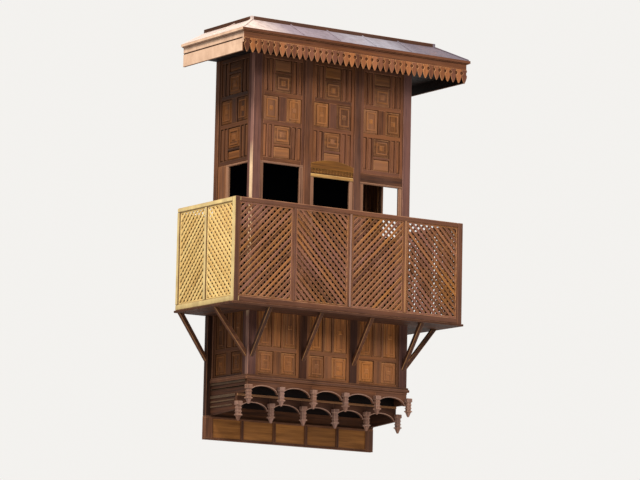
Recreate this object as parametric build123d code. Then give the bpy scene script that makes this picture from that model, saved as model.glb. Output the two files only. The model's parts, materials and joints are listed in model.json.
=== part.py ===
from build123d import *
from math import sqrt
import os

# Projecting oriel of a timber screen house front: a closed cabin on a stepped corbel,
# an open-topped lattice screen round its windows and a hipped metal roof.
# Millimetres. X runs along the wall, Y into the wall, Z up; the front faces -Y.
# The origin is the middle of the base board's back face, which lies on the wall.

# Cabin in plan
cabin_width = 2000
cabin_depth = 760
corner_post_size = 100
mid_post_width = 90
mid_post_depth = 80
wall_post_depth = 70
bay_count = 3

# Heights, from the bottom up
base_board_height = 245
corbel_height = 339
floor_thickness = 28
bottom_row_height = 301
strip_row_height = 507
window_height = 1453
square_row_height = 413
pair_row_height = 307
top_row_height = 417
wall_head_height = 120

# Panelled walls
wall_thickness = 40
wall_setback = 12
panel_relief = 14
field_height = 9
field_taper = 35
field_margin = 7
rail_width = 44
stile_width = 34
muntin_width = 22
pair_muntin_width = 96

# Base board and the cover strips that carry it up the wall
base_board_overlap = 60
base_board_depth = 60
base_board_end_stile = 90
base_board_rail = 16

# Stepped corbel
arch_count = 5
upper_arcade_crown_drop = 64
lower_arcade_top_drop = 136
lower_arcade_beam = 85
lower_arcade_setback = 190
arch_rise = 80
arcade_thickness = 30
cheek_thickness = 32
cheek_band_height = 26
cheek_band_relief = 10
cheek_cove_radius = 55
corbel_board_thickness = 20
pendant_width = 64
pendant_neck_width = 46
pendant_tip_width = 14
pendant_head_height = 40
pendant_collar_height = 14
pendant_tip_height = 52
upper_pendant_length = 197
lower_pendant_length = 201

# Moulding round the foot of the cabin
moulding_projection = 22
moulding_step_projection = 12
moulding_step_height = 20

# Windows
sash_stile_width = 44
sash_depth = 26
sash_sill_height = 40
sash_head_heights = [20, 103, 114]
side_window_width = 430

# Lattice screen
screen_side_gap = 430
screen_front_gap = 377
screen_height = 1080
screen_bottom_height = 1316
screen_post_size = 60
screen_stile_width = 44
screen_rail_depth = 45
screen_bottom_rail = 62
screen_top_rail = 48
screen_rail_bevel = 10
front_panel_count = 4
side_panel_count = 2
lattice_border = 16
slat_width = 70
slat_thickness = 10
slat_pitch = 112
ledge_thickness = 22
ledge_lip = 15

# Struts below the screen
strut_width = 45
strut_foot = 70
strut_head = 60
strut_drop = 479
strut_head_margin = 30

# Eaves and roof
eave_side_overhang = 410
eave_front_overhang = 426
ceiling_thickness = 20
fascia_thickness = 25
eave_height = 105
front_fascia_height = 145
side_fascia_height = 232
fascia_groove_height = 90
fascia_groove_width = 10
fascia_groove_depth = 6
crown_height = 30
crown_projection = 18
valance_thickness = 14
valance_height = 137
valance_slat_count = 39
valance_gap_width = 23
valance_gap_height = 72
valance_point_height = 30
roof_lip = 12
roof_rise = 175
roof_hip_run = 310
roof_sheet_thickness = 8
roof_flange_width = 60
roof_flange_thickness = 6
roof_skirt_height = 22
roof_skirt_thickness = 6
roof_curb_width = 40
roof_curb_height = 20
roof_plate_depth = 40

# Levels, measured from the origin
base_bottom = -base_board_height / 2
base_top = base_board_height / 2
corbel_top = base_top + corbel_height
floor_top = corbel_top + floor_thickness
bottom_rail_line = floor_top + bottom_row_height
sill_level = bottom_rail_line + strip_row_height
head_level = sill_level + window_height
square_rail_line = head_level + square_row_height
pair_rail_line = square_rail_line + pair_row_height
wall_top = pair_rail_line + top_row_height
screen_bottom = base_bottom + screen_bottom_height
screen_top = screen_bottom + screen_height
ceiling_top = wall_top + ceiling_thickness
fascia_top = ceiling_top + eave_height
valance_bottom = fascia_top - side_fascia_height

# Places in plan
half_width = cabin_width / 2
cabin_front = -cabin_depth
wall_front = cabin_front + wall_setback
bay_width = (cabin_width - 2 * corner_post_size - (bay_count - 1) * mid_post_width) / bay_count
bay_pitch = bay_width + mid_post_width
first_bay_left = -half_width + corner_post_size
side_wall_back = -wall_post_depth
side_wall_front = cabin_front + corner_post_size
side_wall_length = side_wall_back - side_wall_front
base_half_width = half_width + base_board_overlap
screen_half_width = half_width + screen_side_gap
screen_front = cabin_front - screen_front_gap
eave_half_width = half_width + eave_side_overhang
eave_front = cabin_front - eave_front_overhang
arch_pitch = cabin_width / arch_count


def block(x_low, x_high, y_low, y_high, z_low, z_high):
    """A straight timber between two opposite corners."""
    size = (x_high - x_low, y_high - y_low, z_high - z_low)
    centre = ((x_low + x_high) / 2, (y_low + y_high) / 2, (z_low + z_high) / 2)
    return Pos(*centre) * Box(*size)


def other_side(shape):
    """The same piece on the right-hand side."""
    return mirror(shape, about=Plane.YZ)


def both_sides(shape):
    """A left-hand piece with its right-hand twin."""
    return Compound(children=[shape, other_side(shape)])


def frustum(width, depth, top_width, top_depth, height):
    """A block with four flat sloping sides, from z = 0 up, centred in plan."""
    side = (width - top_width) / 2
    end = (depth - top_depth) / 2
    wedge = Wedge(width, height, depth, side, end, width - side, depth - end)
    return Pos(0, 0, height / 2) * (Rot(90, 0, 0) * wedge)


def group(shapes):
    """Like pieces that share a node without touching."""
    return Compound(children=list(shapes))


def save(shape, node):
    export_step(shape, f"parts/{node}.step")


def bay_left(bay):
    """Left edge of the clear bay, counted from 0."""
    return first_bay_left + bay * bay_pitch


def to_left_wall(shape):
    """Turn a wall drawn from x = 0 with its face at y = 0 into the left side wall."""
    turned = Rot(0, 0, -90) * shape
    return Pos(-half_width + wall_setback, side_wall_back, 0) * turned


# Panelled walls


def field_spans(width, shares, muntin):
    """Left and right edge of each recess across a row, from the shares of its width."""
    clear = width - 2 * stile_width - (len(shares) - 1) * muntin
    spans = []
    left = stile_width
    for share in shares:
        right = left + clear * share / sum(shares)
        spans.append((left, right))
        left = right + muntin
    return spans


def raised_field(left, right, low, high):
    """The bevelled field that fills one recess."""
    face = Plane(
        origin=((left + right) / 2, panel_relief, (low + high) / 2),
        x_dir=(1, 0, 0),
        z_dir=(0, -1, 0),
    )
    outline = face * Rectangle(right - left - 2 * field_margin, high - low - 2 * field_margin)
    return extrude(outline, amount=field_height, taper=field_taper)


def panelled_wall(width, low, high, rail_lines, rows):
    """A frame-and-panel wall with its face at y = 0; a row is its shares and muntin width."""
    wall = block(0, width, 0, wall_thickness, low, high)
    lows = [low + rail_width] + [line + rail_width / 2 for line in rail_lines]
    highs = [line - rail_width / 2 for line in rail_lines] + [high - rail_width]
    recesses = []
    fields = []
    for row_low, row_high, (shares, muntin) in zip(lows, highs, rows):
        for left, right in field_spans(width, shares, muntin):
            recesses.append(block(left, right, 0, panel_relief, row_low, row_high))
            fields.append(raised_field(left, right, row_low, row_high))
    return (wall - recesses) + fields


strip_row = ([1.8, 1, 1.8], muntin_width)
pair_row = ([1, 1], pair_muntin_width)
centre_row = ([0.35, 0.35, 1.6, 0.35, 0.35], muntin_width)


def lower_panel(width):
    return panelled_wall(width, floor_top, sill_level, [bottom_rail_line], [pair_row, strip_row])


def upper_panel(width):
    lines = [square_rail_line, pair_rail_line]
    return panelled_wall(width, head_level, wall_top, lines, [centre_row, pair_row, centre_row])


def base_board():
    """Flat board against the wall, with one panel under each arch."""
    board = block(-base_half_width, base_half_width, -base_board_depth, 0, base_bottom, base_top)
    recesses = []
    for arch in range(arch_count):
        left = -half_width + arch * arch_pitch + muntin_width / 2
        right = left + arch_pitch - muntin_width
        left = max(left, -base_half_width + base_board_end_stile)
        right = min(right, base_half_width - base_board_end_stile)
        recesses.append(
            block(
                left,
                right,
                -base_board_depth,
                -base_board_depth + panel_relief,
                base_bottom + base_board_rail,
                base_top - base_board_rail,
            )
        )
    return board - recesses


def cover_strips():
    """Strips that cover the joint with the wall from the base board to the screen's ledge."""
    strip = block(
        -base_half_width,
        -half_width,
        -base_board_depth,
        0,
        base_top,
        screen_bottom - ledge_thickness,
    )
    return both_sides(strip)


# Corbel

upper_crown = corbel_top - upper_arcade_crown_drop
lower_arcade_top = corbel_top - lower_arcade_top_drop
lower_crown = lower_arcade_top - lower_arcade_beam
lower_arcade_front = cabin_front + lower_arcade_setback


def arcade(front, top, crown):
    """A row of boards butted at the drops, each with a flattened arch cut up into it from below."""
    springing = crown - arch_rise
    span = arch_pitch - pendant_width
    boards = []
    for arch in range(arch_count):
        left = -half_width + arch * arch_pitch
        board = block(left, left + arch_pitch, front, front + arcade_thickness, springing, top)
        centre = left + arch_pitch / 2
        face = Plane(origin=(centre, front, springing), x_dir=(1, 0, 0), z_dir=(0, -1, 0))
        outline = face * Ellipse(span / 2, arch_rise)
        boards.append(board - extrude(outline, amount=-arcade_thickness))
    return group(boards)


def pendant(length):
    """A square drop from z = 0 down: head block, neck, collar and pointed tip."""
    neck_low = -length + pendant_tip_height + pendant_collar_height
    collar_low = -length + pendant_tip_height
    half_head = pendant_width / 2
    half_neck = pendant_neck_width / 2
    head = block(-half_head, half_head, -half_head, half_head, -pendant_head_height, 0)
    neck = block(-half_neck, half_neck, -half_neck, half_neck, neck_low, -pendant_head_height)
    collar = block(-half_head, half_head, -half_head, half_head, collar_low, neck_low)
    tip = frustum(
        pendant_tip_width, pendant_tip_width, pendant_neck_width, pendant_neck_width, pendant_tip_height
    )
    return head + neck + collar + Pos(0, 0, -length) * tip


def pendants():
    """Drops in front of both arcades, one at each springing."""
    drops = []
    rows = [
        (cabin_front, upper_crown, upper_pendant_length),
        (lower_arcade_front, lower_crown, lower_pendant_length),
    ]
    for front, crown, length in rows:
        for line in range(arch_count + 1):
            x = -half_width + line * arch_pitch
            drops.append(Pos(x, front - pendant_width / 2, crown) * pendant(length))
    return group(drops)


def cheek():
    """Stepped side of the corbel with a cove under each step and bands along it."""
    springing = lower_crown - arch_rise
    lower_front = lower_arcade_front + arcade_thickness
    upper_front = cabin_front + arcade_thickness
    step = lower_arcade_top
    profile = Polyline(
        (0, base_top),
        (0, corbel_top),
        (upper_front, corbel_top),
        (upper_front, step + cheek_cove_radius),
    )
    profile += RadiusArc(
        (upper_front, step + cheek_cove_radius),
        (upper_front + cheek_cove_radius, step),
        cheek_cove_radius,
    )
    profile += Polyline(
        (upper_front + cheek_cove_radius, step),
        (lower_front, step),
        (lower_front, springing),
        (0, base_top),
    )
    side = Plane(origin=(-half_width, 0, 0), x_dir=(0, 1, 0), z_dir=(1, 0, 0))
    board = extrude(side * make_face(profile), amount=cheek_thickness)
    bands = []
    band_front_left = -half_width - cheek_band_relief
    for band_top, front in [(corbel_top, upper_front), (step, lower_front)]:
        bands.append(
            block(
                band_front_left,
                -half_width,
                front,
                -base_board_depth,
                band_top - cheek_band_height,
                band_top,
            )
        )
    return board + bands


def corbel_lining():
    """Boards that close the recess behind both arcades: riser, soffit and back board."""
    half_clear = half_width - cheek_thickness
    riser_back = lower_arcade_front + corbel_board_thickness
    soffit_top = lower_arcade_top + corbel_board_thickness
    back_front = -corbel_board_thickness
    riser = block(
        -half_clear, half_clear, lower_arcade_front, riser_back, lower_arcade_top, corbel_top
    )
    soffit = block(-half_clear, half_clear, riser_back, 0, lower_arcade_top, soffit_top)
    back = block(-half_clear, half_clear, back_front, 0, base_top, lower_arcade_top)
    return riser + soffit + back


# Cabin frame


def floor_deck():
    return block(-half_width, half_width, cabin_front, 0, corbel_top, floor_top)


def floor_moulding():
    """Stepped moulding round the three free edges of the floor."""
    steps = [
        (moulding_projection, corbel_top, floor_top),
        (moulding_step_projection, floor_top, floor_top + moulding_step_height),
    ]
    ring = Part()
    for projection, low, high in steps:
        reach = half_width + projection
        ring += block(-reach, reach, cabin_front - projection, -base_board_depth, low, high)
    core = block(-half_width, half_width, cabin_front, 0, corbel_top, wall_top)
    return ring - core


def wall_posts():
    post = block(
        -half_width, -half_width + corner_post_size, -wall_post_depth, 0, floor_top, wall_top
    )
    return both_sides(post)


def wall_head():
    """Beam over the way in from the room."""
    reach = half_width - corner_post_size
    return block(-reach, reach, -wall_post_depth, 0, wall_top - wall_head_height, wall_top)


def corner_posts():
    post = block(
        -half_width,
        -half_width + corner_post_size,
        cabin_front,
        cabin_front + corner_post_size,
        floor_top,
        wall_top,
    )
    return both_sides(post)


def mid_posts():
    posts = []
    for gap in range(bay_count - 1):
        left = bay_left(gap) + bay_width
        posts.append(
            block(
                left,
                left + mid_post_width,
                cabin_front,
                cabin_front + mid_post_depth,
                floor_top,
                wall_top,
            )
        )
    return group(posts)


def side_jambs():
    """Closed strip of the side walls between the window and the wall post."""
    left = -half_width + wall_setback
    jamb = block(
        left,
        left + wall_thickness,
        side_wall_front + side_window_width,
        side_wall_back,
        sill_level,
        head_level,
    )
    return both_sides(jamb)


# Windows: light frames in the bays, of which the heads hang at different heights


def sash_rows():
    """Low and high level of the clear light in each bay."""
    return [(sill_level + sash_sill_height, head_level - head) for head in sash_head_heights]


def window_stiles():
    depth_low = wall_front
    depth_high = wall_front + sash_depth
    stiles = []
    for bay, (low, high) in enumerate(sash_rows()):
        left = bay_left(bay)
        right = left + bay_width
        for x_low, x_high in [(left, left + sash_stile_width), (right - sash_stile_width, right)]:
            stiles.append(block(x_low, x_high, depth_low, depth_high, low, high))
    side = block(
        -half_width + wall_setback,
        -half_width + wall_setback + sash_depth,
        side_wall_front + side_window_width - sash_stile_width,
        side_wall_front + side_window_width,
        sill_level + sash_sill_height,
        head_level - sash_head_heights[0],
    )
    return group(stiles + [side, other_side(side)])


def window_rails():
    depth_low = wall_front
    depth_high = wall_front + sash_depth
    rails = []
    for bay, (low, high) in enumerate(sash_rows()):
        left = bay_left(bay)
        right = left + bay_width
        rails.append(block(left, right, depth_low, depth_high, sill_level, low))
        rails.append(block(left, right, depth_low, depth_high, high, head_level))
    side_left = -half_width + wall_setback
    side_back = side_wall_front + side_window_width
    side_low, side_high = sash_rows()[0]
    for low, high in [(sill_level, side_low), (side_high, head_level)]:
        side = block(side_left, side_left + sash_depth, side_wall_front, side_back, low, high)
        rails += [side, other_side(side)]
    return group(rails)


# Lattice screen

screen_rail_low = screen_bottom + screen_bottom_rail
screen_rail_high = screen_top - screen_top_rail
front_clear = 2 * (screen_half_width - screen_post_size)
front_panel_width = (front_clear - (front_panel_count - 1) * screen_stile_width) / front_panel_count
side_clear = -screen_front - screen_post_size - screen_stile_width
side_panel_width = (side_clear - (side_panel_count - 1) * screen_stile_width) / side_panel_count
lattice_height = screen_rail_high - screen_rail_low


def slats(width, height, angle, y_low):
    """One layer of parallel slats across a hole, long enough to end past its border."""
    reach = width + height
    count = int(reach / (2 * sqrt(2) * slat_pitch))
    bars = []
    for index in range(-count, count + 1):
        bar = Pos(0, 0, index * slat_pitch) * Box(reach, slat_thickness, slat_width)
        bars.append(Pos(0, y_low + slat_thickness / 2, 0) * (Rot(0, angle, 0) * bar))
    return bars


def lattice(width, lean):
    """Two crossed layers of slats in a light border, centred on the origin."""
    border = block(
        -width / 2, width / 2, -slat_thickness, slat_thickness, -lattice_height / 2, lattice_height / 2
    )
    hole_width = width - 2 * lattice_border
    hole_height = lattice_height - 2 * lattice_border
    border -= Box(hole_width, 2 * slat_thickness, hole_height)
    front = slats(hole_width, hole_height, lean, -slat_thickness)
    back = slats(hole_width, hole_height, -lean, 0)
    panel = Box(width, 2 * slat_thickness, lattice_height)
    return (border + front + back) & panel


def front_lattice(panel):
    """One panel of the screen's front; the front slats lean the other way in each next panel."""
    lean = -45 if panel % 2 == 0 else 45
    pitch = front_panel_width + screen_stile_width
    x = -front_clear / 2 + front_panel_width / 2 + panel * pitch
    y = screen_front + screen_rail_depth / 2
    return Pos(x, y, (screen_rail_low + screen_rail_high) / 2) * lattice(front_panel_width, lean)


def left_lattice():
    pitch = side_panel_width + screen_stile_width
    x = -screen_half_width + screen_rail_depth / 2
    z = (screen_rail_low + screen_rail_high) / 2
    panels = []
    for panel in range(side_panel_count):
        lean = 45 if panel % 2 == 0 else -45
        y = screen_front + screen_post_size + side_panel_width / 2 + panel * pitch
        panels.append(Pos(x, y, z) * (Rot(0, 0, -90) * lattice(side_panel_width, lean)))
    return panels


def screen_posts():
    """Corner posts and the stiles between the panels."""
    corner = block(
        -screen_half_width,
        -screen_half_width + screen_post_size,
        screen_front,
        screen_front + screen_post_size,
        screen_bottom,
        screen_top,
    )
    posts = [corner, other_side(corner)]
    for gap in range(front_panel_count - 1):
        left = -front_clear / 2 + front_panel_width + gap * (front_panel_width + screen_stile_width)
        posts.append(
            block(
                left,
                left + screen_stile_width,
                screen_front,
                screen_front + screen_rail_depth,
                screen_rail_low,
                screen_rail_high,
            )
        )
    for gap in range(side_panel_count):
        front = screen_front + screen_post_size + side_panel_width
        front += gap * (side_panel_width + screen_stile_width)
        stile = block(
            -screen_half_width,
            -screen_half_width + screen_rail_depth,
            front,
            front + screen_stile_width,
            screen_rail_low,
            screen_rail_high,
        )
        posts += [stile, other_side(stile)]
    return group(posts)


def screen_rail(length, height):
    """A rail drawn along X with its outer face at y = 0 and bevelled upper edges."""
    rail = block(0, length, 0, screen_rail_depth, 0, height)
    upper = rail.edges().filter_by(Axis.X).sort_by(Axis.Z)[-2:]
    return chamfer(upper, screen_rail_bevel)


def screen_rails():
    rails = []
    for low, height in [(screen_bottom, screen_bottom_rail), (screen_rail_high, screen_top_rail)]:
        rails.append(Pos(-front_clear / 2, screen_front, low) * screen_rail(front_clear, height))
        side = screen_rail(side_clear + screen_stile_width, height)
        side = Pos(-screen_half_width, 0, low) * (Rot(0, 0, -90) * side)
        rails += [side, other_side(side)]
    return group(rails)


def ledge_front():
    """Board under the front of the screen, between it and the cabin."""
    reach = screen_half_width + ledge_lip
    return block(
        -reach,
        reach,
        screen_front - ledge_lip,
        cabin_front,
        screen_bottom - ledge_thickness,
        screen_bottom,
    )


def ledge_sides():
    side = block(
        -screen_half_width - ledge_lip,
        -half_width,
        cabin_front,
        0,
        screen_bottom - ledge_thickness,
        screen_bottom,
    )
    return both_sides(side)


# Struts


def strut(foot, reach):
    """Slanting brace: upright foot at x = foot, level head, drawn in the XZ plane towards -X."""
    head = screen_bottom - ledge_thickness
    foot_low = head - strut_drop
    outline = Polyline(
        (foot, foot_low),
        (foot, foot_low + strut_foot),
        (reach + strut_head, head),
        (reach, head),
        close=True,
    )
    face = Plane(origin=(0, 0, 0), x_dir=(1, 0, 0), z_dir=(0, -1, 0)) * make_face(outline)
    return extrude(face, amount=strut_width / 2, both=True)


def struts():
    """Two struts each side and one below each front post."""
    side_reach = -screen_half_width + strut_head_margin
    at_wall = Pos(0, -strut_width / 2, 0) * strut(-base_half_width, side_reach)
    at_corner = Pos(0, cabin_front + corner_post_size / 2, 0) * strut(-half_width, side_reach)
    braces = [at_wall, other_side(at_wall), at_corner, other_side(at_corner)]
    forward = Rot(0, 0, 90) * strut(cabin_front, screen_front + strut_head_margin)
    places = [-half_width + corner_post_size / 2, half_width - corner_post_size / 2]
    for gap in range(bay_count - 1):
        places.append(bay_left(gap) + bay_width + mid_post_width / 2)
    braces += [Pos(x, 0, 0) * forward for x in places]
    return group(braces)


# Eaves and roof


def ceiling():
    """Boards over the cabin that run out as the soffit of the eaves."""
    reach = eave_half_width - fascia_thickness
    return block(-reach, reach, eave_front + fascia_thickness, 0, wall_top, ceiling_top)


def fascia_front():
    board = block(
        -eave_half_width,
        eave_half_width,
        eave_front,
        eave_front + fascia_thickness,
        fascia_top - front_fascia_height,
        fascia_top,
    )
    reach = eave_half_width + crown_projection
    crown = block(
        -reach, reach, eave_front - crown_projection, eave_front, fascia_top - crown_height, fascia_top
    )
    return board + crown


def fascia_sides():
    """Plain side boards with one groove along them."""
    outer = -eave_half_width
    front = eave_front + fascia_thickness
    low = fascia_top - side_fascia_height
    board = block(outer, outer + fascia_thickness, front, 0, low, fascia_top)
    crown = block(outer - crown_projection, outer, eave_front, 0, fascia_top - crown_height, fascia_top)
    groove_low = fascia_top - fascia_groove_height - fascia_groove_width
    groove = block(
        outer,
        outer + fascia_groove_depth,
        front,
        0,
        groove_low,
        groove_low + fascia_groove_width,
    )
    return both_sides(board + crown - groove)


def valance_front():
    """Fringe of pointed slats along the front eave."""
    pitch = 2 * eave_half_width / valance_slat_count
    half_slat = (pitch - valance_gap_width) / 2
    top = valance_bottom + valance_height
    slot_top = valance_bottom + valance_gap_height
    shoulder = valance_bottom + valance_point_height
    points = [(-eave_half_width, top), (-eave_half_width, slot_top)]
    for index in range(valance_slat_count):
        centre = -eave_half_width + (index + 0.5) * pitch
        points += [
            (centre - half_slat, slot_top),
            (centre - half_slat, shoulder),
            (centre, valance_bottom),
            (centre + half_slat, shoulder),
            (centre + half_slat, slot_top),
        ]
    points += [(eave_half_width, slot_top), (eave_half_width, top)]
    face = Plane(origin=(0, eave_front, 0), x_dir=(1, 0, 0), z_dir=(0, -1, 0))
    return extrude(face * make_face(Polyline(*points, close=True)), amount=valance_thickness)


roof_half_width = eave_half_width + crown_projection + roof_lip
roof_front = eave_front - crown_projection - roof_lip
flange_top = fascia_top + roof_flange_thickness


def hipped_block(low):
    """Solid with three sloping sides and a flat top, upright against the wall."""
    top_width = 2 * (roof_half_width - roof_hip_run)
    top_depth = 2 * (-roof_front - roof_hip_run)
    whole = frustum(2 * roof_half_width, -2 * roof_front, top_width, top_depth, roof_rise)
    half = block(-roof_half_width, roof_half_width, roof_front, 0, 0, roof_rise)
    return Pos(0, 0, low) * (whole & half)


def roof_sheet():
    """Metal sheet over three slopes and the flat, with a flange on the fascia and a drip edge."""
    slopes = hipped_block(flange_top) - hipped_block(flange_top - roof_sheet_thickness)
    flange = block(-roof_half_width, roof_half_width, roof_front, 0, fascia_top, flange_top)
    inner_reach = roof_half_width - roof_flange_width
    flange -= block(
        -inner_reach, inner_reach, roof_front + roof_flange_width, 0, fascia_top, flange_top
    )
    skirt_low = fascia_top - roof_skirt_height
    skirt = block(-roof_half_width, roof_half_width, roof_front, 0, skirt_low, fascia_top)
    skirt_reach = roof_half_width - roof_skirt_thickness
    skirt -= block(
        -skirt_reach, skirt_reach, roof_front + roof_skirt_thickness, 0, skirt_low, fascia_top
    )
    return slopes + flange + skirt


def roof_wall_plate():
    """Board against the wall that closes the roof space and carries the sheet."""
    low_reach = eave_half_width - fascia_thickness
    low_part = block(-low_reach, low_reach, -roof_plate_depth, 0, ceiling_top, fascia_top)
    mid_reach = roof_half_width - roof_flange_width
    mid_part = block(-mid_reach, mid_reach, -roof_plate_depth, 0, fascia_top, flange_top)
    slab = block(
        -roof_half_width, roof_half_width, -roof_plate_depth, 0, flange_top, flange_top + roof_rise
    )
    high_part = hipped_block(flange_top - roof_sheet_thickness) & slab
    return low_part + mid_part + high_part


def roof_curb():
    """Batten round the free edges of the flat."""
    low = flange_top + roof_rise
    reach = roof_half_width - roof_hip_run
    front = roof_front + roof_hip_run
    ring = block(-reach, reach, front, 0, low, low + roof_curb_height)
    inner = reach - roof_curb_width
    return ring - block(-inner, inner, front + roof_curb_width, 0, low, low + roof_curb_height)


def main():
    os.makedirs("parts", exist_ok=True)

    save(base_board(), "base_board")
    save(cover_strips(), "cover_strips")
    save(arcade(cabin_front, corbel_top, upper_crown), "corbel_upper_arcade")
    save(arcade(lower_arcade_front, lower_arcade_top, lower_crown), "corbel_lower_arcade")
    save(pendants(), "corbel_pendants")
    save(cheek(), "corbel_cheek_left")
    save(other_side(cheek()), "corbel_cheek_right")
    save(corbel_lining(), "corbel_lining")

    save(floor_deck(), "floor_deck")
    save(floor_moulding(), "floor_moulding")
    save(wall_posts(), "wall_posts")
    save(wall_head(), "wall_head")
    save(corner_posts(), "corner_posts")
    save(mid_posts(), "mid_posts")
    save(side_jambs(), "side_jambs")

    for bay in range(bay_count):
        place = Pos(bay_left(bay), wall_front, 0)
        save(place * lower_panel(bay_width), f"lower_front_panel_{bay + 1}")
        save(place * upper_panel(bay_width), f"upper_front_panel_{bay + 1}")
    save(both_sides(to_left_wall(lower_panel(side_wall_length))), "lower_side_panels")
    save(both_sides(to_left_wall(upper_panel(side_wall_length))), "upper_side_panels")

    save(window_stiles(), "window_stiles")
    save(window_rails(), "window_rails")

    save(ledge_front(), "ledge_front")
    save(ledge_sides(), "ledge_sides")
    save(screen_posts(), "screen_posts")
    save(screen_rails(), "screen_rails")
    for panel in range(front_panel_count):
        save(front_lattice(panel), f"front_lattice_{panel + 1}")
    save(group(left_lattice()), "side_lattice_left")
    save(group(other_side(panel) for panel in left_lattice()), "side_lattice_right")
    save(struts(), "struts")

    save(ceiling(), "ceiling")
    save(fascia_front(), "fascia_front")
    save(fascia_sides(), "fascia_sides")
    save(valance_front(), "valance_front")
    save(roof_sheet(), "roof_sheet")
    save(roof_wall_plate(), "roof_wall_plate")
    save(roof_curb(), "roof_curb")


main()
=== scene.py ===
# %% [markdown]
# # A projecting timber bay with a lattice screen
# The solid model of the bay is loaded first. It is the fixed frame for all that follows: every
# board below is made where the solid says it is, in metres, with X along the wall, Y into it and
# Z up.

# %% Load the frame
import json
import math
import random
from itertools import accumulate
import bpy
from mathutils import Matrix, Vector, noise

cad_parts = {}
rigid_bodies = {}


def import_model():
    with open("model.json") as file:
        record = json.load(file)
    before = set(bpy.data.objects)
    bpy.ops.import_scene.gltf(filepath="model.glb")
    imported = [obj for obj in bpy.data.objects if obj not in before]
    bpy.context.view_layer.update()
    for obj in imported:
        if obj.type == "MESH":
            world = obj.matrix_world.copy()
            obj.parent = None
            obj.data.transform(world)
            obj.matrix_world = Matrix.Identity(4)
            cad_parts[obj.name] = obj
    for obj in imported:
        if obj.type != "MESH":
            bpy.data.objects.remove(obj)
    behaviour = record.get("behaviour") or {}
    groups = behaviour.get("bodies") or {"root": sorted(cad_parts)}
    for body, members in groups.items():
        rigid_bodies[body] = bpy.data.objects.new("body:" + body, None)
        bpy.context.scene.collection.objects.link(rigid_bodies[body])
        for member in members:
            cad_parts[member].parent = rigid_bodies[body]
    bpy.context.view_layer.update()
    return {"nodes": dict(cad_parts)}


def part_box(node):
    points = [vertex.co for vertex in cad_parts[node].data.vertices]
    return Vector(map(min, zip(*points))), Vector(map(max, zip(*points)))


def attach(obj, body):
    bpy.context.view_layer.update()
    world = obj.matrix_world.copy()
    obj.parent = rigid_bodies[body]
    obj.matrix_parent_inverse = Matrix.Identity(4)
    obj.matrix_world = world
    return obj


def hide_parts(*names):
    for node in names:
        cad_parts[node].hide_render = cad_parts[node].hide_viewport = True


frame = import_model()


# %% [markdown]
# ## Camera
# The photograph was taken from far below and to the left, and the bay fills only a part of it.
# Keeping the same place for the camera keeps the perspective; a long lens then fills the picture
# with the bay. A camera looks along its own -Z, so the turn is made from the line of sight, and a
# small roll after it brings the uprights to the lean that they have in the photograph.

# %% Camera
camera_place = Vector((-20.627, -31.756, -3.4585))
camera_azimuth = math.radians(33.464)
camera_climb = math.radians(8.333)
camera_roll = math.radians(1.19)
focal_pixels = 3588
picture_width = 640
scene = bpy.context.scene


def placed(name, data):
    """A new object in the scene that shows this data."""
    thing = bpy.data.objects.new(name, data)
    scene.collection.objects.link(thing)
    return thing


sight = Vector((
    math.sin(camera_azimuth) * math.cos(camera_climb),
    math.cos(camera_azimuth) * math.cos(camera_climb),
    math.sin(camera_climb),
))
lens = bpy.data.cameras.new("camera")
lens.sensor_width = 36
lens.lens = focal_pixels / picture_width * lens.sensor_width
lens.clip_start, lens.clip_end = 1, 200
camera = placed("camera", lens)
camera.location = camera_place
camera.rotation_mode = "QUATERNION"
turn = sight.to_track_quat("-Z", "Y")
camera.rotation_quaternion = turn @ Matrix.Rotation(camera_roll, 3, "Z").to_quaternion()
scene.camera = camera
print("lens", round(lens.lens, 1), "mm")


# %% [markdown]
# ## Light and background
# The pale background is only seen by camera, mirror and glass rays; the rays that light the wood
# get a dimmer sky instead. Sky and materials are both networks of nodes, so one small class builds
# them all: it adds a node, sets it and joins it to the nodes before it in one call.

# %% Sky and background
background_tone = (0.90, 0.885, 0.86, 1)
sky_tone = (0.98, 0.98, 1.0, 1)
sky_strength = 0.5


class Recipe:
    """The shader nodes of a material or a sky."""

    def __init__(self, owner):
        owner.use_nodes = True
        self.owner, self.tree = owner, owner.node_tree
        self.tree.nodes.clear()

    def node(self, kind, inputs=None, **settings):
        """A new node. Each input takes a number, a colour, an output or a whole node."""
        made = self.tree.nodes.new("ShaderNode" + kind)
        for key, value in settings.items():
            setattr(made, key, value)
        for key, value in (inputs or {}).items():
            if isinstance(value, bpy.types.Node):
                value = value.outputs[0]
            if isinstance(value, bpy.types.NodeSocket):
                self.tree.links.new(value, made.inputs[key])
            else:
                made.inputs[key].default_value = value
        return made

    def math(self, operation, a, b):
        return self.node("Math", {0: a, 1: b}, operation=operation)

    def plus(self, a, b):
        return self.math("ADD", a, b)

    def times(self, a, b):
        return self.math("MULTIPLY", a, b)

    def mix(self, share, a, b):
        """Colour a, which turns into b as share goes from 0 to 1."""
        return self.node("Mix", {0: share, 6: a, 7: b}, data_type="RGBA").outputs[2]

    def ranged(self, value, low, high, to_low=0.0, to_high=1.0):
        """The value with its range from low to high stretched to another range, and clamped."""
        inputs = {"Value": value, "From Min": low, "From Max": high}
        return self.node("MapRange", {**inputs, "To Min": to_low, "To Max": to_high})

    def stretched(self, vector, scale):
        return self.node("VectorMath", {0: vector, 1: scale}, operation="MULTIPLY")

    def noise(self, vector, detail=4, rough=0.6, scale=1.0):
        inputs = {"Vector": vector, "Scale": scale, "Detail": detail, "Roughness": rough}
        return self.node("TexNoise", inputs)

    def surface(self, colour, rough, height, strength, depth, constants):
        """Ends the recipe with a shader whose bump comes from a height; gives the material."""
        bump = self.node("Bump", {"Height": height, "Strength": strength, "Distance": depth})
        inputs = {"Base Color": colour, "Roughness": rough, "Normal": bump, **constants}
        self.node("OutputMaterial", {0: self.node("BsdfPrincipled", inputs)})
        return self.owner


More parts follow.
